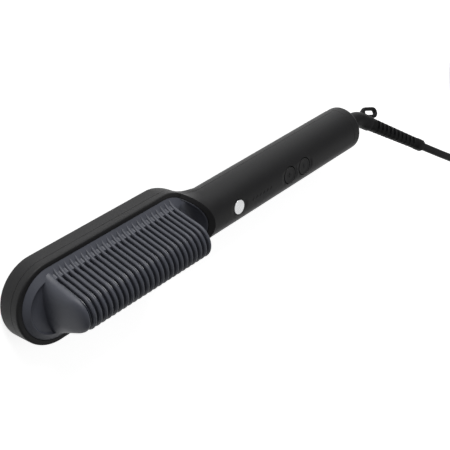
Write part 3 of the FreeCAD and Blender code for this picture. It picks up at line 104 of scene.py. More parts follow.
table_top = bpy.data.materials.new("matt white table top")
table_top.use_nodes = True
floor_tree = table_top.node_tree
floor_tree.nodes.clear()
floor_place = node(floor_tree, "TexCoord").outputs["Object"]
floor_mottle = node(floor_tree, "TexNoise", {"Vector": floor_place, "Scale": 40.0})
floor_tone = node(floor_tree, "Mix", {0: floor_mottle.outputs[0], 6: linear(FLOOR_DARK),
                                      7: linear(FLOOR_LIGHT)}, data_type="RGBA")
floor_matt = node(floor_tree, "BsdfDiffuse", {"Color": floor_tone.outputs[2]})
floor_glow = node(floor_tree, "Emission", {"Strength": seen_directly(floor_tree)})
floor_glow.inputs["Color"].default_value = (FLOOR_GLOW, FLOOR_GLOW, FLOOR_GLOW, 1.0)
floor_sum = node(floor_tree, "AddShader", {0: floor_matt.outputs[0], 1: floor_glow.outputs[0]})
node(floor_tree, "OutputMaterial", {"Surface": floor_sum.outputs[0]})
floor_mesh = bpy.data.meshes.new("table")
floor_mesh.from_pydata([(a * FLOOR_HALF, b * FLOOR_HALF, FLOOR_Z)
                        for a, b in ((-1, -1), (1, -1), (1, 1), (-1, 1))], [], [(0, 1, 2, 3)])
floor_mesh.materials.append(table_top)
floor = bpy.data.objects.new("table", floor_mesh)
bpy.context.scene.collection.objects.link(floor)

surround = bpy.data.worlds.new("even surround")
surround.use_nodes = True
bpy.context.scene.world = surround
sky_tree = surround.node_tree
sky_tree.nodes.clear()
sky = node(sky_tree, "Background", {"Strength": SURROUND, "Color": (1.0, 1.0, 1.0, 1.0)})
node(sky_tree, "OutputWorld", {"Surface": sky.outputs[0]})


def soft_lamp(name, power, size, place):
    """Square lamp at a place, turned so that its face looks at the lamps' target."""
    lamp = bpy.data.lights.new(name, "AREA")
    lamp.energy = power
    lamp.size = size
    made = bpy.data.objects.new(name, lamp)
    aim = (Vector(LAMP_TARGET) - Vector(place)).to_track_quat("-Z", "Y")
    made.matrix_world = Matrix.Translation(place) @ aim.to_matrix().to_4x4()
    bpy.context.scene.collection.objects.link(made)


soft_lamp("key_lamp", KEY_POWER, 0.9, (0.05, 1.2, 0.42))
soft_lamp("fill_lamp", FILL_POWER, 1.2, (0.85, -0.7, 0.85))

# ------------------------------------------------------------------ Rear housing
# Back tray of the head with the lower half of the handle, injection moulded in black glass-filled
# nylon with a fine matt grain. Four screws go in through its back. Sizes are in millimetres, apart
# from the two welding distances in metres, and x counts from the head's tip.
ORIGIN_X = 170.2687
HEAD_HALF = 25.3
HEAD_END = 116.3
TANGENT = 131.657
SHOULDER = 143.797
SHOULDER_RADIUS = 20.0
HANDLE_START = 149.797
SEAM_X = 291.2
RIM_Z = 15.5
AXIS_Z = 16.0
HANDLE_RADIUS = 16.0
HANDLE_TOP = AXIS_Z + HANDLE_RADIUS
HEAD_SEAM_Z = 10.1
HANDLE_SEAM_Z = 14.6
SEAM_LEAD = 4.0
HEAD_CORNER = 1.5
CORNER_GROWTH = 14.1
LEAST_CORNER = 0.3
WALL = 2.2
SCREW_PLACES = (11.5, 131.5, 262.0, 288.2)
SCREW_RECESS = 1.6
RECESS_RADIUS = 2.9
SCREW_HOLE_RADIUS = 1.65
WELD = 2e-6
CUT_WELD = 1e-5
SHARP_ANGLE = 32.0
HOUSING_DARK = "#151516"
HOUSING_LIGHT = "#19191A"


def half_width(x):
    """Half width in plan: straight side, the head's rear arc, the hollow shoulder, the handle."""
    x = np.asarray(x, float)
    arc = np.sqrt(np.clip(HEAD_HALF ** 2 - (x - HEAD_END) ** 2, 0.0, None))
    hollow = (HANDLE_RADIUS + SHOULDER_RADIUS
              - np.sqrt(np.clip(SHOULDER_RADIUS ** 2 - (SHOULDER - x) ** 2, 0.0, None)))
    return np.select([x <= HEAD_END, x <= TANGENT, x < SHOULDER], [HEAD_HALF, arc, hollow],
                     HANDLE_RADIUS)


def smooth(value):
    """Smooth step from 0 to 1."""
    value = np.clip(value, 0.0, 1.0)
    return value * value * (3.0 - 2.0 * value)


def waist_z(x):
    """Height of the widest line: the rim plane at the head, the axis on the handle."""
    share = smooth((np.asarray(x, float) - TANGENT) / (SHOULDER - TANGENT))
    return RIM_Z + (AXIS_Z - RIM_Z) * share


def top_z(x, y):
    """Height of the handle's upper surface: half an ellipse over the widest line."""
    lift = np.sqrt(np.clip(1.0 - (y / half_width(x)) ** 2, 0.0, None))
    return waist_z(x) + (HANDLE_TOP - waist_z(x)) * lift


def parting_z(x):
    """Height of the parting line: low on the head, near the axis on the handle, and a straight
    slope between them."""
    return np.interp(x, (TANGENT - SEAM_LEAD, HANDLE_START - SEAM_LEAD),
                     (HEAD_SEAM_Z, HANDLE_SEAM_Z))


def back_corner(x):
    """Radius of the back edge: it grows from the head's small corner to the handle's round with
    the share of the way to the handle, to the power 1.5."""
    share = np.clip((np.asarray(x, float) - HEAD_END) / (HANDLE_START - HEAD_END), 0.0, 1.0)
    return HEAD_CORNER + CORNER_GROWTH * share ** 1.5


def placed(points):
    """Millimetres measured from the head's tip, as metres from the model's origin."""
    return (np.asarray(points, float).reshape(-1, 3) - (ORIGIN_X, 0.0, 0.0)) / 1000.0


def sheet(points, around=False):
    """Faces over a grid of points, rows by columns; around joins the last column to the first."""
    points = np.asarray(points, float)
    rows, columns = points.shape[:2]
    index = np.arange(rows * columns).reshape(rows, columns)
    if around:
        index = np.hstack([index, index[:, :1]])
    quads = np.stack([index[:-1, :-1], index[:-1, 1:], index[1:, 1:], index[1:, :-1]], axis=-1)
    return points.reshape(-1, 3), quads.reshape(-1, 4)


def lid(points):
    """One flat face over a closed row of points."""
    points = np.asarray(points, float).reshape(-1, 3)
    return points, np.arange(len(points))[None, :]


def bar(points):
    """Closed bar: a grid whose columns go round, with a lid on its first and last row."""
    return [sheet(points, True), lid(points[0]), lid(points[-1])]


def both(parts):
    """The parts and their mirror images on the other side of the centre plane."""
    return parts + [(points * (1.0, -1.0, 1.0), faces) for points, faces in parts]


def merged(mesh, distance, outwards):
    """Merge points closer than a distance in metres, dissolve slivers and, where asked, turn the
    faces outwards."""
    work = bmesh.new()
    work.from_mesh(mesh)
    bmesh.ops.remove_doubles(work, verts=work.verts, dist=distance)
    bmesh.ops.dissolve_degenerate(work, edges=work.edges, dist=distance / 2.0)
    if outwards:
        bmesh.ops.recalc_face_normals(work, faces=work.faces)
    work.to_mesh(mesh)
    work.free()


def shape(name, parts):
    """Mesh of all parts, with doubled points merged and the faces turned outwards."""
    starts = np.cumsum([0] + [len(points) for points, faces in parts])
    polygons = []
    for start, (points, faces) in zip(starts, parts):
        polygons += (faces + start).tolist()
    mesh = bpy.data.meshes.new(name)
    mesh.from_pydata(placed(np.vstack([points for points, faces in parts])), [], polygons)
    merged(mesh, WELD, True)
    return mesh


def piece(name, mesh, material, body, nodes, sharp=SHARP_ANGLE):
    """Object of a finished mesh that stands for its CAD nodes on a body."""
    made = bpy.data.objects.new(name, mesh)
    bpy.context.scene.collection.objects.link(made)
    mesh.materials.append(material)
    mesh.shade_smooth()
    mesh.set_sharp_from_angle(angle=math.radians(sharp))
    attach(made, body)
    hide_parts(*nodes)
    return made


def edged(made, width):
    """Round every sharp edge of an object by a width in millimetres."""
    bevel = made.modifiers.new("soft edges", "BEVEL")
    bevel.width = width / 1000.0
    bevel.segments = 2
    bevel.limit_method = "ANGLE"
    bevel.angle_limit = math.radians(SHARP_ANGLE)
    bevel.harden_normals = True


def carved(mesh, tools, thickness=0.0):
    """The mesh with a wall of a thickness in millimetres, less the closed shapes of the tools."""
    body = bpy.data.objects.new("carved", mesh)
    cutter = bpy.data.objects.new("tools", shape("tools", tools))
    for made in (body, cutter):
        bpy.context.scene.collection.objects.link(made)
    if thickness:
        wall = body.modifiers.new("wall", "SOLIDIFY")
        wall.thickness = thickness / 1000.0
        wall.offset = -1.0
        wall.use_even_offset = True
    cut = body.modifiers.new("openings", "BOOLEAN")
    cut.operation = "DIFFERENCE"
    cut.solver = "EXACT"
    cut.object = cutter
    graph = bpy.context.evaluated_depsgraph_get()
    result = bpy.data.meshes.new_from_object(body.evaluated_get(graph), depsgraph=graph)
    for made in (body, cutter):
        bpy.data.objects.remove(made)
    merged(result, CUT_WELD, False)
    return result


def circle(steps):
    """Angles of a full circle in equal steps, without its end."""
    return 2.0 * math.pi * np.arange(steps) / steps


def turned(profile, start, way=(0.0, 0.0, 1.0), steps=48):
    """Lathe shape: rows of distance along an axis and radius, carried round it from a start."""
    profile = np.asarray(profile, float)
    way = np.asarray(way, float) / np.linalg.norm(way)
    side = np.cross((0.0, 1.0, 0.0) if abs(way[1]) < 0.9 else (1.0, 0.0, 0.0), way)
    side /= np.linalg.norm(side)
    angle = circle(steps)
    spoke = np.outer(np.cos(angle), side) + np.outer(np.sin(angle), np.cross(way, side))
    return sheet(np.asarray(start, float) + profile[:, :1, None] * way
                 + profile[:, 1:, None] * spoke, True)


def finish(name, tones, patch, grain, depth, roughness, spread=0.08, ior=1.5, metallic=0.0, **more):
    """Material whose colour drifts between two tones over patches, with a fine grain that sets
    its bump and varies its roughness. Patch, grain and depth are in millimetres."""
    material = bpy.data.materials.new(name)
    material.use_nodes = True
    tree = material.node_tree
    shader = tree.nodes["Principled BSDF"]
    place = node(tree, "TexCoord").outputs["Object"]
    drift = node(tree, "TexNoise", {"Vector": place, "Scale": 1000.0 / patch, "Detail": 3.0})
    tone = node(tree, "Mix", {0: drift.outputs[0], 6: linear(tones[0]), 7: linear(tones[1])},
                data_type="RGBA")
    fine = node(tree, "TexNoise", {"Vector": place, "Scale": 1000.0 / grain, "Detail": 2.0})
    gloss = node(tree, "MapRange", {0: fine.outputs[0], 1: 0.3, 2: 0.7, 3: roughness - spread,
                                    4: roughness + spread})
    relief = node(tree, "Bump", {"Height": fine.outputs[0], "Strength": 1.0,
                                 "Distance": depth / 1000.0})
    tree.links.new(tone.outputs[2], shader.inputs["Base Color"])
    tree.links.new(gloss.outputs[0], shader.inputs["Roughness"])
    tree.links.new(relief.outputs[0], shader.inputs["Normal"])
    shader.inputs["Metallic"].default_value = metallic
    if not metallic:
        shader.inputs["IOR"].default_value = ior
    for key, value in more.items():
        shader.inputs[key.replace("_", " ")].default_value = value
    return material


def lower_profile(x, inset):
    """Distance from the centre line and height along the lower half of a section, for each
    station: down the side from the parting line, round the back edge and in to the centre."""
    x = np.asarray(x, float)[:, None]
    width = half_width(x) - inset
    corner = np.maximum(LEAST_CORNER, back_corner(x) - inset)
    start = parting_z(x)
    first = np.arcsin(np.clip((inset + corner - start) / corner, 0.0, 1.0))
    down = np.linspace(0.0, 1.0, 4)[None, :]
    side = width - corner * (1.0 - np.cos(first)) + 0.0 * down
    side_z = start + (np.minimum(start, inset + corner) - start) * down
    angle = first + (math.pi / 2.0 - first) * np.linspace(0.0, 1.0, 13)[None, 1:]
    arc = width - corner * (1.0 - np.cos(angle))
    arc_z = inset + corner * (1.0 - np.sin(angle))
    inward = np.linspace(1.0, 0.0, 6)[None, 1:]
    floor_line = (width - corner) * inward
    return (np.hstack([side, arc, floor_line]),
            np.hstack([side_z, arc_z, inset + 0.0 * floor_line]))


tip_turn = np.linspace(0.0, math.pi / 2.0, 25)
tip_centre = np.full(len(tip_turn), HEAD_HALF)
side_x = np.linspace(HEAD_HALF, HEAD_END, 12)[1:]


def stations():
    """Stations of the housing from the tip to the end cap: the centre's place, and the turn of
    the line from it to the outline, which is a quarter round the tip and square after it."""
    run = np.concatenate([side_x, np.linspace(HEAD_END, HANDLE_START, 36)[1:],
                          np.linspace(HANDLE_START, SEAM_X, 24)[1:]])
    return (np.concatenate([tip_centre, run]),
            np.concatenate([tip_turn, np.full(len(run), math.pi / 2.0)]))


def across(centre, turn, reach, height):
    """Points at a reach from the centres, in the direction of each station's turn."""
    return np.stack([centre[:, None] - np.cos(turn)[:, None] * reach,
                     np.sin(turn)[:, None] * reach + 0.0 * height, height + 0.0 * reach], axis=-1)


centre, turn = stations()
outer = across(centre, turn, *lower_profile(centre, 0.0))
inner = across(centre, turn, *lower_profile(centre, WALL))
rear_parts = both([sheet(outer), sheet(inner), sheet(np.stack([outer[:, 0], inner[:, 0]], axis=1)),
                   sheet(np.stack([outer[-1], inner[-1]], axis=0))])
# Each screw's bore: a recess for its head, then a hole through the wall.
bore_profile = [(-1.0, 0.0), (-1.0, RECESS_RADIUS), (SCREW_RECESS, RECESS_RADIUS),
                (SCREW_RECESS, SCREW_HOLE_RADIUS), (6.0, SCREW_HOLE_RADIUS), (6.0, 0.0)]
screw_bores = [turned(bore_profile, (x, 0.0, 0.0)) for x in SCREW_PLACES]
rear_mesh = carved(shape("rear_housing", rear_parts), screw_bores)
# Matt moulded nylon: near black, with a soft wide sheen where it faces the lamp.
housing_plastic = finish("moulded glass-filled nylon", (HOUSING_DARK, HOUSING_LIGHT), 14.0, 0.35,
                         0.004, 0.5, Specular_IOR_Level=0.22)
rear_housing = piece("rear_tray", rear_mesh, housing_plastic, "brush", ["rear_housing"])
edged(rear_housing, 0.2)

# ------------------------------------------------------------------ Front housing
# Rim of the head with the upper half of the handle, moulded in the same nylon. A lip slopes up
# round the scoop behind the comb, and the controls come through its crown.
SEAM_GAP = 0.25
RECESS_HALF = 22.5
RECESS_TIP = 25.9
LEDGE_HALF = 20.5
LEDGE_Z = 12.5
LEDGE_UNDERSIDE = 11.0
SKIN = 1.2
RIM_ROLL = 1.2
ROLL_FADE = 6.0
INNER_RISE = 0.82
POWER_X = 164.997
PLUS_X = 217.297
MINUS_X = 232.997
POWER_RADIUS = 4.85
KEY_RADIUS = 5.8
BUTTON_GAP = 0.42
POWER_FLAT = 31.5
KEY_FLAT = 31.25
FLAT_LAND = 0.9
FLAT_FADE = 2.4
BUTTONS = ((POWER_X, POWER_RADIUS, POWER_FLAT), (PLUS_X, KEY_RADIUS, KEY_FLAT),
           (MINUS_X, KEY_RADIUS, KEY_FLAT))
LIGHTS = 178.397 + 3.58 * np.arange(6)
LIGHT_HALF = 0.62
LIGHT_RADIUS = 0.52


def crown_front(angle):
    """Where the crown meets the scoop's rim, for each angle across the crown: the place whose
    distance from the head's rear centre is the arc's radius, found by halving."""
    low = np.full(angle.shape, TANGENT)
    high = np.full(angle.shape, HEAD_END + HEAD_HALF)
    for _ in range(40):
        middle = (low + high) / 2.0
        reach = (middle - HEAD_END) ** 2 + (half_width(middle) * np.sin(angle)) ** 2
        low = np.where(reach < HEAD_HALF ** 2, middle, low)
        high = np.where(reach < HEAD_HALF ** 2, high, middle)
    return (low + high) / 2.0


def button_flat(x, y):
    """How far the crown is lowered round each button: to a level land beside it, which fades out
    into the handle's round over a short way."""
    lowered = np.zeros_like(x)
    round_z = AXIS_Z + np.sqrt(HANDLE_RADIUS ** 2 - y ** 2)
    for place, radius, level in BUTTONS:
        away = np.hypot(x - place, y) - radius - FLAT_LAND
        drop = smooth(1.0 - away / FLAT_FADE) * np.clip(round_z - level, 0.0, None)
        lowered = np.maximum(lowered, drop)
    return lowered


crown_angle = np.linspace(math.pi / 2.0, 0.0, 45)
front_x = crown_front(crown_angle)
along = np.linspace(0.0, 1.0, 241)[:, None]
crown_x = front_x + (SEAM_X - front_x) * along
crown_y = half_width(crown_x) * np.sin(crown_angle)
crown_z = waist_z(crown_x) + (HANDLE_TOP - waist_z(crown_x)) * np.cos(crown_angle)
crown_z -= button_flat(crown_x, np.clip(crown_y, -HANDLE_RADIUS, HANDLE_RADIUS))
crown = np.stack([crown_x, crown_y, crown_z], axis=-1)

# The side wall: from the rolled rim down to the parting line, round the back edge's arc.
rear_turn = np.linspace(0.0, math.asin((TANGENT - HEAD_END) / HEAD_HALF), 14)[1:]
wall_centre = np.concatenate([tip_centre, side_x, HEAD_END + HEAD_HALF * np.sin(rear_turn),
                              crown_x[1:, 0]])
wall_turn = np.concatenate([tip_turn, np.full(len(wall_centre) - len(tip_turn), math.pi / 2.0)])
wall_x = wall_centre[:, None]
roll_x = np.clip((TANGENT - wall_centre) / ROLL_FADE, 0.0, 1.0)[:, None]
wall_top = waist_z(wall_x) - RIM_ROLL * smooth(roll_x)
wall_low = parting_z(wall_x) + SEAM_GAP
wall_z = wall_top + (wall_low - wall_top) * np.linspace(0.0, 1.0, 5)[None, :]
wall_corner = back_corner(wall_x)
wall_reach = (half_width(wall_x) - wall_corner
              + np.sqrt(wall_corner ** 2 - np.clip(wall_corner - wall_z, 0.0, None) ** 2))
wall = across(wall_centre, wall_turn, wall_reach, wall_z)

# The rim: lines round the head from its rolled outer edge to the ledge that carries the comb.
scoop_turn = np.arctan2(front_x - HEAD_END, half_width(front_x) * np.sin(crown_angle))[1:]
rear_angles = np.concatenate([rear_turn, scoop_turn])
rear_centre = np.full(len(rear_angles), HEAD_END)
ring_centre = np.concatenate([tip_centre, side_x, rear_centre])
recess_centre = np.concatenate([np.full(len(tip_turn), RECESS_TIP), side_x, rear_centre])
ring_x = np.concatenate([-np.cos(tip_turn), np.zeros(len(side_x)), np.sin(rear_angles)])
ring_y = np.concatenate([np.sin(tip_turn), np.ones(len(side_x)), np.cos(rear_angles)])
rim_z = np.concatenate([np.full(len(tip_turn) + len(side_x) + len(rear_turn), RIM_Z),
                        top_z(front_x, half_width(front_x) * np.sin(crown_angle))[1:]])
inner_rim_z = RIM_Z + INNER_RISE * (rim_z - RIM_Z)


def ring_line(centres, radius, height):
    """Line round the rim: each centre plus its direction times a radius, at a height."""
    return np.stack([centres + ring_x * radius, ring_y * radius, height + 0.0 * ring_x], axis=-1)


roll_run = TANGENT - ring_centre - HEAD_HALF * np.maximum(ring_x, 0.0)
roll = RIM_ROLL * smooth(roll_run / ROLL_FADE)
rim_lines = [ring_line(ring_centre, HEAD_HALF - roll * (1.0 - math.cos(angle)),
                       rim_z - roll * (1.0 - math.sin(angle)))
             for angle in np.radians(np.linspace(0.0, 90.0, 9))]
rim_lines += [ring_line(recess_centre, RECESS_HALF, height)
              for height in (inner_rim_z, (inner_rim_z + LEDGE_Z) / 2.0, LEDGE_Z)]
rim_lines += [ring_line(ring_centre, LEDGE_HALF, height) for height in (LEDGE_Z, LEDGE_UNDERSIDE)]
front_parts = both([sheet(crown), sheet(wall), sheet(np.stack(rim_lines, axis=1))])


def slanted_slot(x):
    """Upright prism over one light, from inside the handle to above it. Its outline is a stadium
    turned by 45 degrees."""
    angle = np.linspace(0.0, 2.0 * math.pi, 24, endpoint=False)
    long_way = LIGHT_HALF * np.sign(np.cos(angle)) + LIGHT_RADIUS * np.cos(angle)
    short_way = LIGHT_RADIUS * np.sin(angle)
    lean = math.sqrt(0.5)
    return bar(np.stack([np.column_stack([x + lean * (long_way - short_way),
                                          lean * (long_way + short_way), np.full(len(angle), z)])
                         for z in (20.0, 40.0)]))


openings = [turned([(0.0, 0.0), (0.0, radius + BUTTON_GAP), (20.0, radius + BUTTON_GAP),
                    (20.0, 0.0)], (x, 0.0, 20.0), steps=72) for x, radius, level in BUTTONS]
for x in LIGHTS:
    openings += slanted_slot(x)
front_mesh = carved(shape("front_housing", front_parts), openings, SKIN)
front_housing = piece("front_cover", front_mesh, housing_plastic, "brush", ["front_housing"])
edged(front_housing, 0.12)

# ------------------------------------------------------------------ Comb cover
# Grey heat-proof comb that drops into the rim: a sloped border, a blunt nose, arched guard ribs
# and low skirts that join their feet. Moulded in one piece with a smooth satin face.
COMB_HALF = 22.2
PLATEAU_HALF = 17.2
PLATEAU_Z = 18.5
DISH_RADIUS = 16.9
DISH_Z = 17.3
DISH_TIP = 23.9
DISH_SHIFT = 2.7
SINK_START = 0.52
SINK_TURN = 0.3
COMB_LOW = 12.6
COMB_FOOT_Z = 13.0
WINDOW_HALF = 14.5
FIRST_RIB = 24.6
LAST_RIB = 119.832
RIB_COUNT = 25
RIB_PITCH = (LAST_RIB - FIRST_RIB) / (RIB_COUNT - 1)
RIB_HALF = 1.15
RIB_DEPTH = 4.5
CREST_RISE = 31.0
CREST_RADIUS = 11.8
KNEE_HALF = 15.8
KNEE_Z = 24.5
FOOT_HALF = 20.5
FOOT_Z = 15.9
ARCH_LOW = 16.0
FOOT_SPREAD = 0.9
FOOT_RUN = 7.0
WINDOW_REAR = 118.282
COMB_DARK = "#3C3E45"
COMB_LIGHT = "#42444C"


def crest_z(x):
    """Height of the comb's crest, which is 1 mm lower at the nose than at the handle."""
    return RIM_Z + CREST_RISE + np.clip((x - FIRST_RIB) / (LAST_RIB - FIRST_RIB), 0.0, 1.0)


def outline(offset, crest, flared=True, low=ARCH_LOW):
    """Half outline across the comb, from a foot to the crest's middle: a hollow arc up to the
    knee, a straight side and part of the crest's circle. Without the flare it starts upright."""
    radius = CREST_RADIUS - offset
    height = crest - CREST_RADIUS
    knee = np.array([KNEE_HALF - offset, KNEE_Z])
    bearing = math.atan2(knee[1] - height, knee[0])
    angle = bearing + math.acos(radius / math.hypot(knee[0], height - knee[1]))
    touch = np.array([radius * math.cos(angle), height + radius * math.sin(angle)])
    step = np.linspace(0.0, 1.0, 11)[:, None]
    straight = knee + (touch - knee) * step
    turn = angle + (math.pi / 2.0 - angle) * np.linspace(0.0, 1.0, 15)[1:]
    crown = np.column_stack([radius * np.cos(turn), height + radius * np.sin(turn)])
    if flared:
        side = (knee - touch) / np.linalg.norm(knee - touch)
        normal = np.array([side[1], -side[0]]) * (1.0 if side[1] > 0.0 else -1.0)
        foot = np.array([FOOT_HALF - offset, FOOT_Z])
        run = foot - knee
        bend = run.dot(run) / (2.0 * normal.dot(run))
        hub = knee + normal * bend
        first = math.atan2(foot[1] - hub[1], foot[0] - hub[0])
        last = math.atan2(knee[1] - hub[1], knee[0] - hub[0])
        swing = (last - first + math.pi) % (2.0 * math.pi) - math.pi
        sweep = first + swing * np.linspace(0.0, 1.0, 11)[:-1]
        start = hub + abs(bend) * np.column_stack([np.cos(sweep), np.sin(sweep)])
    else:
        base = np.array([knee[0], low])
        start = base + (knee - base) * np.linspace(0.0, 1.0, 6)[:-1, None]
    return np.vstack([start, straight, crown])


def arch(offset, crest, flared=True, low=ARCH_LOW):
    """Whole outline across the comb, from the foot on the +Y side to the other."""
    half = outline(offset, crest, flared, low)
    return np.vstack([half, half[-2::-1] * (-1.0, 1.0)])


def rounded_bar(path, place, half, depth, tight=0.3):
    """Bar that follows an arch: its outer edge is a half circle, its inner edge nearly square.
    Half is the bar's half thickness along the head, one number for each point of the path."""
    ahead = np.gradient(path, axis=0)
    ahead /= np.linalg.norm(ahead, axis=1)[:, None]
    inward = np.column_stack([-ahead[:, 1], ahead[:, 0]])
    inside = (0.0, 25.0)
    inward *= np.sign((inward * (inside - path)).sum(axis=1).mean())
    angle = np.linspace(-math.pi / 2.0, math.pi / 2.0, 11)
    side = np.concatenate([np.sin(angle), (1.0, 1.0 - tight, tight - 1.0, -1.0)])
    sink = np.concatenate([half.max() * (1.0 - np.cos(angle)),
                           (depth - tight, depth, depth, depth - tight)])
    x = place + half[:, None] * side[None, :]
    spot = path[:, None, :] + inward[:, None, :] * sink[None, :, None]
    return bar(np.concatenate([x[..., None], spot], axis=-1))


def travelled(path):
    """Distance along a path from its start, at each of its points."""
    return np.concatenate([[0.0], np.cumsum(np.linalg.norm(np.diff(path, axis=0), axis=1))])


# The plate: levels of the cross line from the underside's edge over the border to the middle.
# The dish is a circle whose centre lies a little in front of the head's rear centre.
plate_turn = np.linspace(0.0, math.pi / 2.0, 33)
plate_run = np.linspace(30.0, 112.0, 8)
dish_reach = (np.sqrt(DISH_RADIUS ** 2 - DISH_SHIFT ** 2 * np.cos(plate_turn) ** 2)
              - DISH_SHIFT * np.sin(plate_turn))
rise = np.linspace(0.0, 1.0, 7)
border_half = COMB_HALF + (PLATEAU_HALF - COMB_HALF) * rise
border_z = RIM_Z + (PLATEAU_Z - RIM_Z) * rise


def plate_levels(edge, floor_z, middle):
    """Reach and height of each level for a station: border, dish edge, dish floor, underside."""
    reach = np.concatenate([(COMB_HALF - 0.2, COMB_HALF), border_half,
                            (edge, edge - 0.25, edge - 0.9), np.linspace(edge - 1.2, middle, 6),
                            (middle, COMB_HALF - 0.2)])
    height = np.concatenate([(COMB_LOW, COMB_LOW + 0.3), border_z,
                             (PLATEAU_Z, PLATEAU_Z - 0.3, floor_z + 0.1), np.full(6, floor_z),
                             (COMB_LOW, COMB_LOW)])
    return reach, height


border_share = np.concatenate([(0.0, 0.0), rise, np.ones(11)])
plate_rows = []
reach, height = plate_levels(DISH_RADIUS, DISH_Z, 0.0)
hub = RECESS_TIP + (DISH_TIP - RECESS_TIP) * np.append(border_share[:-1], 0.0)
for turn_angle in plate_turn:
    plate_rows.append(np.column_stack([hub - math.cos(turn_angle) * reach,
                                       math.sin(turn_angle) * reach, height]))
reach, height = plate_levels(DISH_RADIUS, PLATEAU_Z, WINDOW_HALF)
for x in plate_run:
    plate_rows.append(np.column_stack([np.full(len(reach), x), reach, height]))
# Round the rear the border sinks to the dish's floor, to pass under the end wall.
for turn_angle, edge in zip(plate_turn, dish_reach):
    reach, height = plate_levels(edge, DISH_Z, 0.0)
    sink = smooth((turn_angle - SINK_START) / SINK_TURN)
    height += (np.minimum(height, DISH_Z) - height) * sink
    plate_rows.append(np.column_stack([HEAD_END + math.sin(turn_angle) * reach,
                                       math.cos(turn_angle) * reach, height]))
comb_parts = both([sheet(np.stack(plate_rows), True)])

# The nose: the same arch grows from a low foot to its full height along a quarter ellipse and to
# its full width along a squarer curve, and its rear edge rolls over by 1 mm into the first slot.
NOSE_REAR = 24.75
NOSE_REACH = 7.65
NOSE_CREST = RIM_Z + 30.0
NOSE_POWER = 2.7


def nose_arch(offset):
    """The nose's arch at an offset, closed along the comb's foot."""
    line = arch(offset, NOSE_CREST)
    return np.vstack([line, (line[-1, 0], COMB_FOOT_Z), (line[0, 0], COMB_FOOT_Z)])


nose_angle = np.radians(np.linspace(5.0, 90.0, 30))
nose_back = np.cos(nose_angle)
full_arch = nose_arch(0.0)
nose_y = (1.0 - nose_back ** NOSE_POWER)[:, None] ** (1.0 / NOSE_POWER) * full_arch[None, :, 0]
nose_z = COMB_FOOT_Z + np.sin(nose_angle)[:, None] * (full_arch[None, :, 1] - COMB_FOOT_Z)
nose_x = (NOSE_REAR - NOSE_REACH * nose_back)[:, None] + 0.0 * nose_y
nose_rows = [np.stack([nose_x, nose_y, nose_z], axis=-1)]
for turn_angle in np.radians((18.0, 36.0, 54.0, 72.0, 90.0)):
    rolled = nose_arch(1.0 - math.cos(turn_angle))
    x = np.full((1, len(rolled), 1), NOSE_REAR + math.sin(turn_angle))
    nose_rows.append(np.concatenate([x, rolled[None]], axis=-1))
comb_parts += bar(np.concatenate(nose_rows))

# The ribs: full-round arches whose feet narrow to a point in the border.
for k in range(1, RIB_COUNT):
    x = FIRST_RIB + k * RIB_PITCH
    path = arch(0.0, crest_z(x))
    gone = travelled(path)
    near_foot = np.minimum(gone, gone[-1] - gone)
    path[:, 0] += FOOT_SPREAD * np.sign(path[:, 0]) * (1.0 - smooth(near_foot / FOOT_RUN))
    taper = np.clip(0.15 + near_foot / 3.0, 0.0, 1.0)
    comb_parts += rounded_bar(path, x, RIB_HALF * taper, RIB_DEPTH)


def prism(line, places):
    """Closed bar along the head whose section is one line across it, repeated at each place."""
    return bar(np.stack([np.column_stack([np.full(len(line), x), line]) for x in places]))


# A plate fills the last arch.
comb_parts += prism(arch(1.0, crest_z(LAST_RIB), False, 14.0), (LAST_RIB - 0.9, LAST_RIB + 0.9))

# The skirts: between two ribs the wall stands a little in, and its top edge dips in the middle.
# Its outer face follows the arches' hollow foot, and its top edge is rounded.
SKIRT_TOP = 20.8
SKIRT_DIP = 0.5
SKIRT_INSET = 0.35
SKIRT_HOLLOW = 0.5
SKIRT_EDGE = 0.3
skirt_x = np.linspace(FIRST_RIB, LAST_RIB, 8 * (RIB_COUNT - 1) + 1)
between = np.abs(np.sin(math.pi * (skirt_x - FIRST_RIB) / RIB_PITCH))
lower_arc = outline(0.0, crest_z(LAST_RIB))[:11]
skirt_top = SKIRT_TOP - SKIRT_DIP * between ** 0.5
face_z = FOOT_Z + (skirt_top[:, None] - FOOT_Z) * np.linspace(0.0, 1.0, 11)[None, :]
face_y = (np.interp(face_z, lower_arc[:, 1], lower_arc[:, 0]) - SKIRT_INSET
          - SKIRT_HOLLOW * between[:, None] ** 0.7)
over = np.radians((20.0, 45.0, 70.0, 90.0))
edge_y = face_y[:, -1:] - SKIRT_EDGE * (1.0 - np.cos(over))[None, :]
edge_z = skirt_top[:, None] + SKIRT_EDGE * np.sin(over)[None, :]
skirt_y = np.hstack([face_y, edge_y, np.full((len(skirt_x), 3), WINDOW_HALF), face_y[:, :1]])
skirt_z = np.hstack([face_z, edge_z, skirt_top[:, None] + 0.1,
                     np.full((len(skirt_x), 1), ARCH_LOW), np.full((len(skirt_x), 2), 13.2)])
skirt_rows = np.stack([skirt_x[:, None] + 0.0 * skirt_y, skirt_y, skirt_z], axis=-1)
comb_parts += both(bar(skirt_rows))

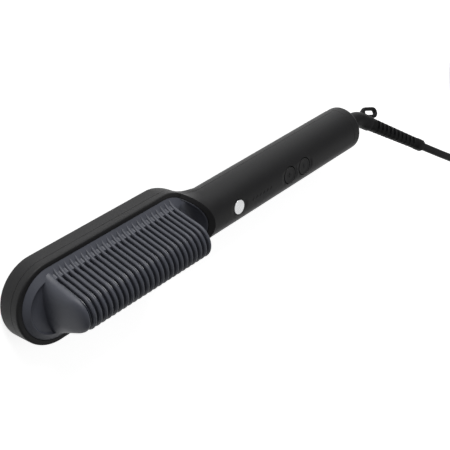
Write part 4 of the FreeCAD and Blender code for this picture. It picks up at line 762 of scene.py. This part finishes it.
# The end wall: a curved wall with a hollow foot that lines the scoop in the handle's end. Its top
# stays just below the rim's inner edge.
BOWL_FOOT = 17.4
BOWL_DEPTH = 4.2
end_turn = np.linspace(-0.995, 0.995, 61) * math.acos((TANGENT - HEAD_END) / HEAD_HALF)
outer_x = HEAD_END + HEAD_HALF * np.cos(end_turn)
outer_z = top_z(outer_x, HEAD_HALF * np.sin(end_turn))
end_top = np.maximum(RIM_Z + INNER_RISE * (outer_z - RIM_Z) - 0.2, RIM_Z + 0.1)[:, None]
foot_turn = np.radians(np.linspace(0.0, 90.0, 13))
end_reach = np.concatenate([(COMB_HALF, BOWL_FOOT), BOWL_FOOT + BOWL_DEPTH * np.sin(foot_turn),
                            (21.7, 21.9, 22.1, COMB_HALF)])
end_foot = np.minimum(DISH_Z + 0.1, end_top - 0.8)
bowl = end_foot + (end_top - 0.5 - end_foot) * (1.0 - np.cos(foot_turn))
end_z = np.hstack([np.full((len(end_turn), 2), COMB_FOOT_Z), bowl,
                   end_top + (-0.2, 0.0, -0.15, -0.5)])
comb_parts += bar(np.stack([HEAD_END + np.cos(end_turn)[:, None] * end_reach[None, :],
                            np.sin(end_turn)[:, None] * end_reach[None, :], end_z], axis=-1))
# Satin heat-proof nylon: blue-grey, smoother than the housing, with a broad even sheen.
comb_plastic = finish("moulded heat-proof nylon, satin", (COMB_DARK, COMB_LIGHT), 9.0, 0.25,
                      0.0015, 0.46, spread=0.05, Specular_IOR_Level=0.35)
piece("comb", shape("comb", comb_parts), comb_plastic, "brush", ["comb_cover"])

# ------------------------------------------------------------------ Heated plate
# Aluminium die casting with a slick dark blue-grey ceramic coating: a flange under the comb, a
# dome inside the arches and one thin fin in the middle of every slot.
FIN_HALF = 0.5
FIN_DROP = 1.7
FIN_DEPTH = 3.6
DOME_OFFSET = 4.9
POCKET_HALF = 6.8
POCKET_DEPTH = 5.5
WINDOW_FRONT = 26.15
FLANGE_Z = 9.5
FLANGE_HALF = 19.0
COATING_DARK = "#12151B"
COATING_LIGHT = "#1A1F29"

pocket = [(-POCKET_HALF, FLANGE_Z), (-POCKET_HALF, FLANGE_Z + POCKET_DEPTH),
          (POCKET_HALF, FLANGE_Z + POCKET_DEPTH), (POCKET_HALF, FLANGE_Z)]
dome_line = np.vstack([arch(DOME_OFFSET, RIM_Z + CREST_RISE, False, FLANGE_Z), pocket])
casting = prism(dome_line, np.linspace(WINDOW_FRONT, WINDOW_REAR, 9))
for k in range(RIB_COUNT - 1):
    x = FIRST_RIB + (k + 0.5) * RIB_PITCH
    path = arch(FIN_DROP, crest_z(x), False, 15.0)
    casting += rounded_bar(path, x, np.full(len(path), FIN_HALF), FIN_DEPTH, 0.1)
flange_top = LEDGE_Z - 0.05
flange_line = [(POCKET_HALF, FLANGE_Z), (FLANGE_HALF, FLANGE_Z), (FLANGE_HALF, flange_top),
               (POCKET_HALF, flange_top)]
casting += both(prism(flange_line, (WINDOW_FRONT - 3.0, WINDOW_REAR + 3.0)))
# Slick ceramic coating on the casting: dark blue-grey, glossy enough to catch thin light lines.
coated_aluminium = finish("ceramic-coated die-cast aluminium", (COATING_DARK, COATING_LIGHT), 6.0,
                          0.2, 0.001, 0.26, spread=0.06, ior=1.7)
piece("heated_plate", shape("heated_plate", casting), coated_aluminium, "brush", ["heating_plate"],
      sharp=40.0)

# ------------------------------------------------------------------ Heater stack under the comb
# A ceramic strip in the casting's pocket, closed by an aluminium bar, with a mica sheet, four
# screws, a thermistor and a thermal fuse below it.
def wear(name, *materials):
    """Put new materials on the slots of a CAD node that keeps its own mesh."""
    for place, material in zip(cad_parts[name].material_slots, materials):
        place.material = material


# Sintered ceramic is off-white, dry and even.
wear("ceramic_heater", finish("sintered alumina", ("#E2DED4", "#EDEAE2"), 5.0, 0.2, 0.002, 0.55))
# Rolled aluminium is pale with fine streaks that blur its reflections.
mill_aluminium = finish("mill-finish aluminium", ("#BDBEC1", "#CACBCD"), 4.0, 0.15, 0.002, 0.34,
                        metallic=1.0)
wear("heater_clamp", mill_aluminium)
wear("thermal_fuse", mill_aluminium)
# Pressed mica is tan with flakes that glint.
wear("insulation_sheet", finish("pressed mica paper", ("#9C7E55", "#C0A67C"), 2.2, 0.6, 0.01, 0.42))
# Zinc plating on steel is pale grey, slightly cloudy and half glossy.
zinc_steel = finish("zinc-plated steel", ("#A9ABB0", "#BFC1C4"), 2.0, 0.1, 0.001, 0.33,
                    metallic=1.0)
wear("heater_screws", zinc_steel)
# Dipped epoxy is near black with a smooth wet look.
wear("temperature_sensor", finish("dipped epoxy", ("#17171A", "#1F1F23"), 1.5, 0.3, 0.002, 0.2))

# ------------------------------------------------------------------ Board and its parts
# Fibreglass circuit board on two posts of the rear housing, with six light chips, three push
# switches, a film capacitor, and silicone-insulated wires to the mains and to the heater.
# Solder mask is deep green and glossy, with the glass weave faint under it.
wear("main_board", finish("solder-masked fibreglass laminate", ("#0C3B1E", "#12502A"), 3.0, 0.5,
                          0.004, 0.3))
wear("board_screws", zinc_steel)
# Cast light chips are cream, small and shiny.
wear("indicator_leds", finish("moulded light chip resin", ("#E9E2C8", "#F2EEDD"), 0.8, 0.1, 0.001,
                              0.25))
# Moulded switch nylon is black with a dry fine grain.
wear("tact_switches", finish("moulded switch nylon", ("#121213", "#1B1B1C"), 2.0, 0.2, 0.003, 0.45))
# The capacitor's flame-proof case is ochre, smooth and half glossy.
wear("filter_capacitor", finish("flame-proof capacitor case", ("#B08A1B", "#C39A22"), 3.0, 0.3,
                                0.003, 0.3))
# Silicone insulation is off-white, soft and dull.
silicone = finish("silicone wire insulation", ("#CFCAC0", "#DBD7CE"), 3.0, 0.2, 0.002, 0.5)
wear("supply_leads", silicone)
wear("heater_leads", silicone)
wear("housing_screws", zinc_steel)
# Smoked polycarbonate light guide: its pegs look dark in their slots while the lights are off.
wear("light_guide", finish("smoked polycarbonate", ("#050506", "#080809"), 4.0, 0.4, 0.0005, 0.45,
                           ior=1.58, Specular_IOR_Level=0.15))

# ------------------------------------------------------------------ Buttons
# One turned silver cap for power and two moulded ones with a raised plus and minus, each with a
# collar under the shell and a stem over its switch. Their flat faces stand a little proud.
BORE_RADIUS = 13.8
COLLAR_WIDTH = 1.0
COLLAR_RISE = 1.1
STEM_RADIUS = 1.8
STEM_LOW = 26.15
KEY_SHY = 0.12
KEY_PROUD = 0.1
SIGN_HALF_LENGTH = 1.8
SIGN_HALF_WIDTH = 0.24
KEY_STEPS = 96


def key(place, dish, edge):
    """Circles of a button from its stem's foot over the collar to the middle of its face, which is
    hollow by a dish's depth. Its edge is rounded."""
    x, radius, flat = place
    radius -= KEY_SHY
    top = flat + KEY_PROUD
    collar = radius + COLLAR_WIDTH
    collar_top = AXIS_Z + math.sqrt(BORE_RADIUS ** 2 - collar ** 2) - 0.2
    collar_low = collar_top - COLLAR_RISE
    face = radius - edge
    inner = np.linspace(face, 0.0, 9)
    corner = np.radians((0.0, 30.0, 60.0))
    reach = np.concatenate([(0.0, STEM_RADIUS, STEM_RADIUS, collar, collar, radius),
                            radius - edge * (1.0 - np.cos(corner)), inner])
    height = np.concatenate([(STEM_LOW, STEM_LOW, collar_low, collar_low, collar_top, collar_top),
                             top - edge * (1.0 - np.sin(corner)),
                             top - dish * smooth((face - inner) / 1.6)])
    angle = circle(KEY_STEPS)
    return sheet(np.stack([x + reach[:, None] * np.cos(angle), reach[:, None] * np.sin(angle),
                           height[:, None] + 0.0 * angle], axis=-1), True)


def stroke(x, half_x, half_y):
    """Bar of a sign that stands on a key's hollow face."""
    rows = [[(x + a * half_x, b * half_y, z) for a, b in ((-1, -1), (1, -1), (1, 1), (-1, 1))]
            for z in (KEY_FLAT - 0.4, KEY_FLAT + 0.02)]
    return bar(np.array(rows))


# Turned aluminium with a clear lacquer: pale, with fine rings round its middle that stretch its
# highlights.
silver = bpy.data.materials.new("turned aluminium, lacquered")
silver.use_nodes = True
silver_tree = silver.node_tree
shader = silver_tree.nodes["Principled BSDF"]
shader.inputs["Metallic"].default_value = 1.0
shader.inputs["Anisotropic"].default_value = 0.55
disc_place = node(silver_tree, "TexCoord").outputs["Object"]
centred = node(silver_tree, "Mapping", {"Vector": disc_place,
                                        "Location": ((ORIGIN_X - POWER_X) / 1000.0, 0.0, 0.0)})
level_place = node(silver_tree, "VectorMath", {0: centred.outputs[0], 1: (1.0, 1.0, 0.0)},
                   operation="MULTIPLY")
away = node(silver_tree, "VectorMath", {0: level_place.outputs[0]}, operation="LENGTH")
# Tool rings 0.12 mm apart, drawn coarser than the real 0.05 mm so that they show.
rings = node(silver_tree, "Math", {0: away.outputs["Value"], 1: 2.0 * math.pi / 0.00012},
             operation="MULTIPLY")
wave = node(silver_tree, "Math", {0: rings.outputs[0]}, operation="SINE")
tone = node(silver_tree, "MapRange", {0: wave.outputs[0], 1: -1.0, 2: 1.0, 3: 0.0, 4: 1.0})
colour = node(silver_tree, "Mix", {0: tone.outputs[0], 6: linear("#E3E4E6"),
                                   7: linear("#F1F1F2")}, data_type="RGBA")
polish = node(silver_tree, "MapRange", {0: wave.outputs[0], 1: -1.0, 2: 1.0, 3: 0.26, 4: 0.34})
relief = node(silver_tree, "Bump", {"Height": wave.outputs[0], "Strength": 0.5,
                                    "Distance": 0.000002})
turning = node(silver_tree, "Tangent", direction_type="RADIAL", axis="Z")
silver_tree.links.new(colour.outputs[2], shader.inputs["Base Color"])
silver_tree.links.new(polish.outputs[0], shader.inputs["Roughness"])
silver_tree.links.new(relief.outputs[0], shader.inputs["Normal"])
silver_tree.links.new(turning.outputs[0], shader.inputs["Tangent"])
power_place, plus_place, minus_place = BUTTONS
piece("power_cap", shape("power_cap", [key(power_place, 0.06, 0.2)]), silver, "power_key",
      ["power_button"], sharp=50.0)

# Matt nylon: the housing's black, a little less glossy.
key_plastic = finish("moulded nylon key, matt", (HOUSING_DARK, HOUSING_LIGHT), 8.0, 0.35, 0.004,
                     0.5, Specular_IOR_Level=0.2)
plus_parts = [key(plus_place, 0.25, 0.25)]
plus_parts += stroke(PLUS_X, SIGN_HALF_WIDTH, SIGN_HALF_LENGTH)
plus_parts += stroke(PLUS_X, SIGN_HALF_LENGTH, SIGN_HALF_WIDTH)
piece("plus_cap", shape("plus_cap", plus_parts), key_plastic, "plus_key", ["plus_button"],
      sharp=50.0)
minus_parts = [key(minus_place, 0.25, 0.25)]
minus_parts += stroke(MINUS_X, SIGN_HALF_WIDTH, SIGN_HALF_LENGTH)
piece("minus_cap", shape("minus_cap", minus_parts), key_plastic, "minus_key", ["minus_button"],
      sharp=50.0)

# ------------------------------------------------------------------ End cap
# Rounded cap moulded in the housing's nylon. Its spigot is held inside the handle by a screw,
# and its bore carries the swivel. The profile below goes from the spigot's inner edge over the
# cap's rounded edge and through the bore back to it.
CAP_EDGE = 2.8
CAP_END = 299.5
AXIS_WAY = (1.0, 0.0, 0.0)
cap_turn = np.radians(np.linspace(0.0, 90.0, 13))
cap_profile = np.vstack([
    [(285.2, 9.8), (285.2, 13.5), (285.4, 13.7), (291.25, 13.7), (291.25, 15.75), (291.5, 16.0)],
    np.column_stack([CAP_END - CAP_EDGE * (1.0 - np.sin(cap_turn)),
                     HANDLE_RADIUS - CAP_EDGE * (1.0 - np.cos(cap_turn))]),
    [(CAP_END, 7.0), (299.25, 6.5), (298.9, 6.28), (290.2, 6.28), (290.2, 9.8), (285.2, 9.8)]])
cap_bore = turned([(-1.0, 0.0), (-1.0, 1.5), (7.2, 1.5), (7.2, 0.0)],
                  (SCREW_PLACES[-1], 0.0, 0.0))
cap_mesh = carved(shape("end_cap", [turned(cap_profile, (0.0, 0.0, AXIS_Z), AXIS_WAY, 96)]),
                  [cap_bore])
piece("tail_cap", cap_mesh, housing_plastic, "brush", ["end_cap"])

# ------------------------------------------------------------------ Swivel neck and hanging loop
# Elbow moulded in nylon that turns in the end cap, with a flat loop for hanging on its outer
# side. An open spring-steel ring in its groove keeps it in.
NECK_BEND = np.array([317.5, 0.0, 16.0])
CORD_WAY = np.array([0.7866586, -0.5549266, 0.2706005])
NECK_LENGTH = 13.0
NECK_STEPS = 48
BEND_RUN = 6.0
LOOP_ALONG = 14.8
LOOP_AWAY = 3.9
LOOP_HALF = 3.9
LOOP_RADIUS = 2.9
LOOP_BAR_HALF = 1.3
LOOP_THICKNESS_HALF = 1.7
WEB_FACES = (-1.6, -1.2, 1.2, 1.6)
WEB_SHY = 0.94


def carried(centres, ways, radii):
    """Circles carried along a line of centres: each stands square to its own way and has its own
    radius."""
    ways = ways / np.linalg.norm(ways, axis=1)[:, None]
    side = np.cross(ways, (0.0, 0.0, 1.0))
    side /= np.linalg.norm(side, axis=1)[:, None]
    lift = np.cross(side, ways)
    angle = circle(NECK_STEPS)
    spoke = (np.cos(angle)[None, :, None] * side[:, None, :]
             + np.sin(angle)[None, :, None] * lift[:, None, :])
    return centres[:, None, :] + radii[:, None, None] * spoke


# Places and radii of the straight part: the wire's bore, the journal with the retainer's groove,
# and a small collar outside the cap. Then a quadratic bend, and the outlet's distances and radii.
journal = np.array([(303.5, 0.0), (303.5, 4.4), (285.2, 4.4), (285.2, 6.0), (285.4, 6.2),
                    (288.8, 6.2), (288.8, 5.2), (290.0, 5.2), (290.0, 6.2), (299.7, 6.2),
                    (299.75, 6.7), (299.9, 6.85), (300.2, 6.9), (301.0, 6.75), (302.0, 6.55),
                    (303.0, 6.4), (305.0, 6.25), (308.0, 6.15)])
outlet = np.array([(8.0, 5.7), (10.0, 5.7), (12.6, 5.7), (12.9, 5.62), (NECK_LENGTH, 5.4),
                   (NECK_LENGTH, 0.0)])
step = np.linspace(0.0, 1.0, 13)[:, None]
before = NECK_BEND - (BEND_RUN, 0.0, 0.0)
after = NECK_BEND + BEND_RUN * CORD_WAY
bend_line = (1.0 - step) ** 2 * before + 2.0 * step * (1.0 - step) * NECK_BEND + step ** 2 * after
bend_way = (1.0 - step) * AXIS_WAY + step * CORD_WAY
straight_line = np.column_stack([journal[:, 0], np.zeros(len(journal)),
                                 np.full(len(journal), AXIS_Z)])
neck_line = np.vstack([straight_line, bend_line, NECK_BEND + outlet[:, :1] * CORD_WAY])
neck_way = np.vstack([np.tile(AXIS_WAY, (len(journal), 1)), bend_way,
                      np.tile(CORD_WAY, (len(outlet), 1))])
neck_radius = np.concatenate([journal[:, 1], np.linspace(6.0, 5.75, 13), outlet[:, 1]])
neck_parts = [sheet(carried(neck_line, neck_way, neck_radius), True)]

loop_along = np.array(AXIS_WAY) + CORD_WAY
loop_along /= np.linalg.norm(loop_along)
loop_side = np.cross(AXIS_WAY, CORD_WAY)
loop_side /= np.linalg.norm(loop_side)
loop_away = -np.cross(loop_side, loop_along)
loop_away *= 1.0 if loop_away[1] > 0.0 else -1.0


def loop_place(a, b, c):
    """Points along, away from and across the plane of the loop, measured from the elbow."""
    return (NECK_BEND + np.multiply.outer(a, loop_along) + np.multiply.outer(b, loop_away)
            + np.multiply.outer(c, loop_side))


def squarish(value, power):
    """Sine or cosine raised to a power below 1 with its sign kept, which squares a circle up."""
    return np.sign(value) * np.abs(value) ** power


# The loop's bar: a rounded section, 2.6 mm in the loop's plane and 3.4 mm across it, follows a
# stadium.
loop_turn = circle(64)
bar_a = (LOOP_ALONG + LOOP_HALF * np.clip(np.cos(loop_turn) * 6.0, -1.0, 1.0)
         + LOOP_RADIUS * np.cos(loop_turn))
bar_b = LOOP_AWAY + LOOP_RADIUS * np.sin(loop_turn)
section = circle(16)
out = LOOP_BAR_HALF * squarish(np.cos(section), 0.6)
over_side = LOOP_THICKNESS_HALF * squarish(np.sin(section), 0.6)
loop_grid = loop_place(bar_a[:, None] + out * np.cos(loop_turn)[:, None],
                       bar_b[:, None] + out * np.sin(loop_turn)[:, None],
                       over_side + 0.0 * bar_a[:, None])
loop_grid = np.concatenate([loop_grid, loop_grid[:1]])
neck_parts.append(sheet(loop_grid, True))

# The web joins the loop to the elbow. Its outer faces are a little smaller than its middle.
web = np.array([(2.0, -1.0), (4.5, 3.4), (7.0, 6.0), (8.3, 5.6), (8.0, 3.9), (8.8, 1.9),
                (10.9, 1.0), (14.8, 1.0), (18.8, -1.5), (9.0, -4.0)])
web_rows = [loop_place(web[:, 0], web[:, 1], np.full(len(web), c)) for c in WEB_FACES]
for face in (0, -1):
    web_middle = web_rows[face].mean(axis=0)
    web_rows[face] = web_middle + WEB_SHY * (web_rows[face] - web_middle)
neck_parts += bar(np.stack(web_rows))
# Matt nylon: a shade darker than the housing, with little sheen.
neck_plastic = finish("moulded nylon swivel, matt", ("#121213", "#161617"), 6.0, 0.3, 0.003, 0.5,
                      Specular_IOR_Level=0.15)
piece("swivel_elbow", shape("swivel_elbow", neck_parts), neck_plastic, "swivel", ["swivel_neck"],
      sharp=38.0)
# Rolled spring steel is grey with a dull shine.
wear("swivel_retainer", finish("rolled spring steel", ("#8A8C90", "#9A9CA0"), 2.0, 0.1, 0.001, 0.36,
                               metallic=1.0))

# ------------------------------------------------------------------ Strain relief
# Soft PVC sleeve moulded on the cord. Slots from two sides leave a flexible web, and a plain
# spine runs along each of the other two.
RELIEF_RADIUS = 5.1
RELIEF_NARROWING = 0.8
RELIEF_RUN = 57.0
SLOT_COUNT = 10
SLOT_START = 5.5
SLOT_PITCH = 4.5
SLOT_HALF_WEB = 2.2
NO_WEB = 9.0
RELIEF_TURN = -1.217
COLLAR_RADIUS = 4.6
relief_start = NECK_BEND + NECK_LENGTH * CORD_WAY
relief_across = np.cross(CORD_WAY, loop_side)
relief_angle = circle(96)


def relief_row(distance, radius, web_half=NO_WEB):
    """Points round the sleeve at a distance: a circle, cut off flat at half the web's thickness
    where it is slotted."""
    reach = np.minimum(radius, web_half / np.maximum(np.abs(np.cos(relief_angle)), 1e-6))
    turn_angle = relief_angle + RELIEF_TURN
    return (relief_start + distance * CORD_WAY
            + (reach * np.cos(turn_angle))[:, None] * relief_across
            + (reach * np.sin(turn_angle))[:, None] * loop_side)


# Rows of each slot: distance from its start, half its web, and how much its edges are drawn in.
slot_rows = ((-0.25, NO_WEB, 0.0), (0.0, NO_WEB, 0.22), (0.02, SLOT_HALF_WEB, 0.3),
             (2.08, SLOT_HALF_WEB, 0.3), (2.1, NO_WEB, 0.22), (2.35, NO_WEB, 0.0))
relief_rows = [relief_row(0.0, 0.0), relief_row(0.0, 4.9), relief_row(0.2, RELIEF_RADIUS)]
for k in range(SLOT_COUNT):
    for ahead, web_half, shy in slot_rows:
        distance = SLOT_START + SLOT_PITCH * k + ahead
        radius = RELIEF_RADIUS - RELIEF_NARROWING * distance / RELIEF_RUN - shy
        relief_rows.append(relief_row(distance, radius, web_half))
for distance, radius in ((53.6, 4.35), (54.0, COLLAR_RADIUS), (54.3, COLLAR_RADIUS + 0.02),
                         (59.4, COLLAR_RADIUS), (59.8, 4.4), (60.0, 4.1), (60.0, 0.0)):
    relief_rows.append(relief_row(distance, radius))
# Soft PVC is near black and dull, with a fine moulded grain.
soft_vinyl = finish("moulded soft PVC, matt", ("#0E0E0F", "#121213"), 5.0, 0.3, 0.004, 0.52,
                    Specular_IOR_Level=0.12)
piece("cord_sleeve", shape("cord_sleeve", [sheet(np.stack(relief_rows), True)]), soft_vinyl,
      "swivel", ["strain_relief"], sharp=40.0)

# ------------------------------------------------------------------ Mains cord
# Round flexible cord with a soft PVC sheath, extruded, with a faint satin sheen. It leaves the
# strain relief, comes down to the table and lies in a tied coil of two layers, with its plug.
# Its points and sizes are in metres from the model's origin.
CORD_DIAMETER = 0.0060
COIL_CENTRE = (0.3574574, -0.0200096)
COIL_RADII = (0.0452, 0.0391, 0.0330, 0.0269)
COIL_LOW = 0.0031
COIL_HIGH = 0.0091
COIL_TURNS = 7.0
POINTS_PER_TURN = 16
CORD_ROUTE = [
    (0.2046574, -0.0405096, 0.0357538),
    (0.2361237, -0.0627067, 0.0465779),
    (0.2679574, -0.0800096, 0.0410000),
    (0.2999574, -0.0790096, 0.0190000),
    (0.3299574, -0.0705096, 0.0031000),
    (0.3574574, -0.0652096, 0.0031000),
]
TAIL_ROUTE = [
    (0.3774574, -0.0652096, 0.0086000),
    (0.3974574, -0.0647096, 0.0070000),
    (0.4134574, -0.0638096, 0.0070000),
]


def coil_points():
    """Turns of the coil. Each turn keeps its radius and steps to the next row in a short window:
    inward on the lower layer, up at the inner row, outward on the upper layer. The control
    points stand outside the turns by the share that a quadratic curve cuts inside them."""
    turn = np.arange(1, int(COIL_TURNS * POINTS_PER_TURN) + 1) / POINTS_PER_TURN
    whole = np.floor(turn)
    part = turn - whole
    rows = len(COIL_RADII)

    def ramp(low, high):
        return smooth((part - low) / (high - low))

    inward = np.minimum(whole + ramp(0.85, 1.0), rows - 1.0)
    outward = np.clip(2.0 * rows - 1.0 - whole - ramp(0.55, 0.7), 0.0, rows - 1.0)
    row = np.where(turn < rows, inward, outward)
    radius = np.interp(row, range(rows), COIL_RADII)
    climb = np.where(whole == rows - 1.0, ramp(0.7, 0.85), (whole >= rows) * 1.0)
    height = COIL_LOW + (COIL_HIGH - COIL_LOW) * climb
    half_step = math.pi / POINTS_PER_TURN
    radius = radius / ((3.0 + math.cos(2.0 * half_step)) / 4.0)
    angle = -math.pi / 2.0 + 2.0 * math.pi * turn
    return np.column_stack([COIL_CENTRE[0] + radius * np.cos(angle),
                            COIL_CENTRE[1] + radius * np.sin(angle), height])


cord_curve = bpy.data.curves.new("power_cord", "CURVE")
cord_curve.dimensions = "3D"
cord_curve.bevel_depth = 1.0
cord_curve.bevel_resolution = 4
cord_curve.resolution_u = 6
cord_curve.use_fill_caps = True
cord_points = CORD_ROUTE + [tuple(p) for p in coil_points()] + TAIL_ROUTE
spline = cord_curve.splines.new("NURBS")
spline.points.add(len(cord_points) - 1)
for point, place in zip(spline.points, cord_points):
    point.co = (*place, 1.0)
    point.radius = CORD_DIAMETER / 2.0
spline.order_u = 3
spline.use_endpoint_u = True
power_cord = bpy.data.objects.new("mains_cord", cord_curve)
bpy.context.scene.collection.objects.link(power_cord)
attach(power_cord, "swivel")
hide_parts("power_cord", "cord_coil", "plug_tail")

# Extruded PVC is near black with a fine pull along the cord and a faint satin line of light.
fine_vinyl = finish("extruded PVC sheath", ("#131314", "#171718"), 5.0, 0.3, 0.003, 0.5,
                    Specular_IOR_Level=0.15)
cord_curve.materials.append(fine_vinyl)

# ------------------------------------------------------------------ Cord tie
# Flat strap of black nylon round the +Y side of the coil. The fine teeth on its face are drawn as
# a grain.
COIL_INNER = 23.9
COIL_OUTER = 48.2
TIE_HALF = 4.0
TIE_GAP = 0.2
TIE_THICKNESS = 1.2
tie_centre = np.array([527.7261, -20.0096])
tie_inner = tie_centre[1] + math.sqrt(COIL_INNER ** 2 - TIE_HALF ** 2) - TIE_GAP
tie_outer = tie_centre[1] + COIL_OUTER + TIE_GAP
tie_turn = np.radians(np.linspace(0.0, 90.0, 7))


def strap_line(low_y, high_y, low_z, high_z, radius):
    """Rounded rectangle in the plane across the strap: a quarter circle at each corner, with its
    lowest side flat on the table."""
    corners = []
    for y, z, first in ((high_y - radius, low_z + radius, -90.0),
                        (high_y - radius, high_z - radius, 0.0),
                        (low_y + radius, high_z - radius, 90.0),
                        (low_y + radius, low_z + radius, 180.0)):
        angle = tie_turn + math.radians(first)
        corners.append(np.column_stack([y + radius * np.cos(angle), z + radius * np.sin(angle)]))
    return np.vstack(corners)


strap_out = strap_line(tie_inner - TIE_THICKNESS, tie_outer + TIE_THICKNESS, 0.02, 13.5, 1.8)
strap_in = strap_line(tie_inner, tie_outer, 0.09, 12.3, 0.6)
strap_edge = strap_out + (strap_in - strap_out) * 0.35
section_rows = [(-3.6, strap_out), (3.6, strap_out), (TIE_HALF, strap_edge), (TIE_HALF, strap_in),
                (-TIE_HALF, strap_in), (-TIE_HALF, strap_edge)]
strap_grid = np.stack([np.column_stack([np.full(len(line), tie_centre[0] + x), line])
                       for x, line in section_rows], axis=1)
strap_grid = np.concatenate([strap_grid, strap_grid[:1]])
# Moulded nylon is black and half glossy, with a coarse grain for the teeth.
tie_plastic = finish("moulded nylon strap", ("#151516", "#1D1D1E"), 4.0, 0.8, 0.02, 0.38)
cord_tie = piece("coil_strap", shape("coil_strap", [sheet(strap_grid, True)]), tie_plastic,
                 "swivel", ["cord_tie"], sharp=40.0)

# ------------------------------------------------------------------ Mains plug
# Flat two-pin plug moulded in PVC round its pins, narrow at the cord and wide at the pins, with
# grip ridges on its flanks. The pins are nickel-plated brass.
PLUG_REAR = np.array([583.7261, -63.8096, 7.0])
PLUG_WAY = np.array([0.9984217, 0.0561612, 0.0])
PLUG_SIDE = np.array([-0.0561612, 0.9984217, 0.0])
PLUG_LENGTH = 36.0
PIN_HALF_SPACING = 9.0
GRIP_DEPTH = 0.35
GRIP_RIDGES = 12.0
plug_share = np.concatenate([(0.0, 0.0), np.linspace(0.004, 0.97, 44), (0.99, 1.0, 1.0)])
plug_half = np.interp(plug_share, (0.0, 0.3, 0.62, 1.0), (4.2, 6.7, 14.0, 17.4))
plug_half = np.convolve(np.pad(plug_half, 4, mode="edge"), np.ones(9) / 9.0, mode="valid")
plug_thick = np.interp(plug_share, (0.0, 0.3, 0.62, 1.0), (4.2, 4.95, 6.4, 6.85))
grip = GRIP_DEPTH * np.clip(np.sin(2.0 * math.pi * plug_share * GRIP_RIDGES), 0.0, 1.0)
grip *= smooth((plug_share - 0.25) / 0.1) * smooth((0.72 - plug_share) / 0.1)
ends = np.concatenate([(0.0, 0.9), np.ones(44), (0.985, 0.96, 0.0)])
plug_a = squarish(np.cos(circle(64)), 0.55)
plug_b = squarish(np.sin(circle(64)), 0.55)
plug_reach = ((plug_half - grip) * ends)[:, None, None] * plug_a[None, :, None] * PLUG_SIDE
plug_rise = (plug_thick * ends)[:, None, None] * plug_b[None, :, None] * np.array([0.0, 0.0, 1.0])
plug_spine = PLUG_REAR + (PLUG_LENGTH * plug_share)[:, None, None] * PLUG_WAY
plug_mesh = shape("plug_housing", [sheet(plug_spine + plug_reach + plug_rise, True)])
# Moulded PVC is black and matt, a shade paler than the cord.
plug_plastic = finish("moulded plug PVC, matt", ("#1B1B1C", "#232324"), 6.0, 0.4, 0.005, 0.45)
plug_body = piece("plug_housing", plug_mesh, plug_plastic, "swivel", ["plug_body"],
                  sharp=45.0)
pin_profile = [(0.05, 0.0), (0.05, 2.0), (17.6, 2.0), (18.2, 1.85), (18.7, 1.5), (19.0, 0.9),
               (19.0, 0.0)]
pins = [turned(pin_profile, PLUG_REAR + PLUG_LENGTH * PLUG_WAY
               + side * PIN_HALF_SPACING * PLUG_SIDE, PLUG_WAY) for side in (-1.0, 1.0)]
# Nickel plating is a warm pale grey, bright and nearly mirror smooth.
nickel = finish("nickel-plated brass", ("#C9C6BF", "#D8D5CE"), 3.0, 0.1, 0.0005, 0.16, spread=0.04,
                metallic=1.0)
plug_pins = piece("contact_pins", shape("contact_pins", pins), nickel, "swivel", ["plug_pins"])

# ------------------------------------------------------------------ Last update
# The view layer is brought up to date.
bpy.context.view_layer.update()
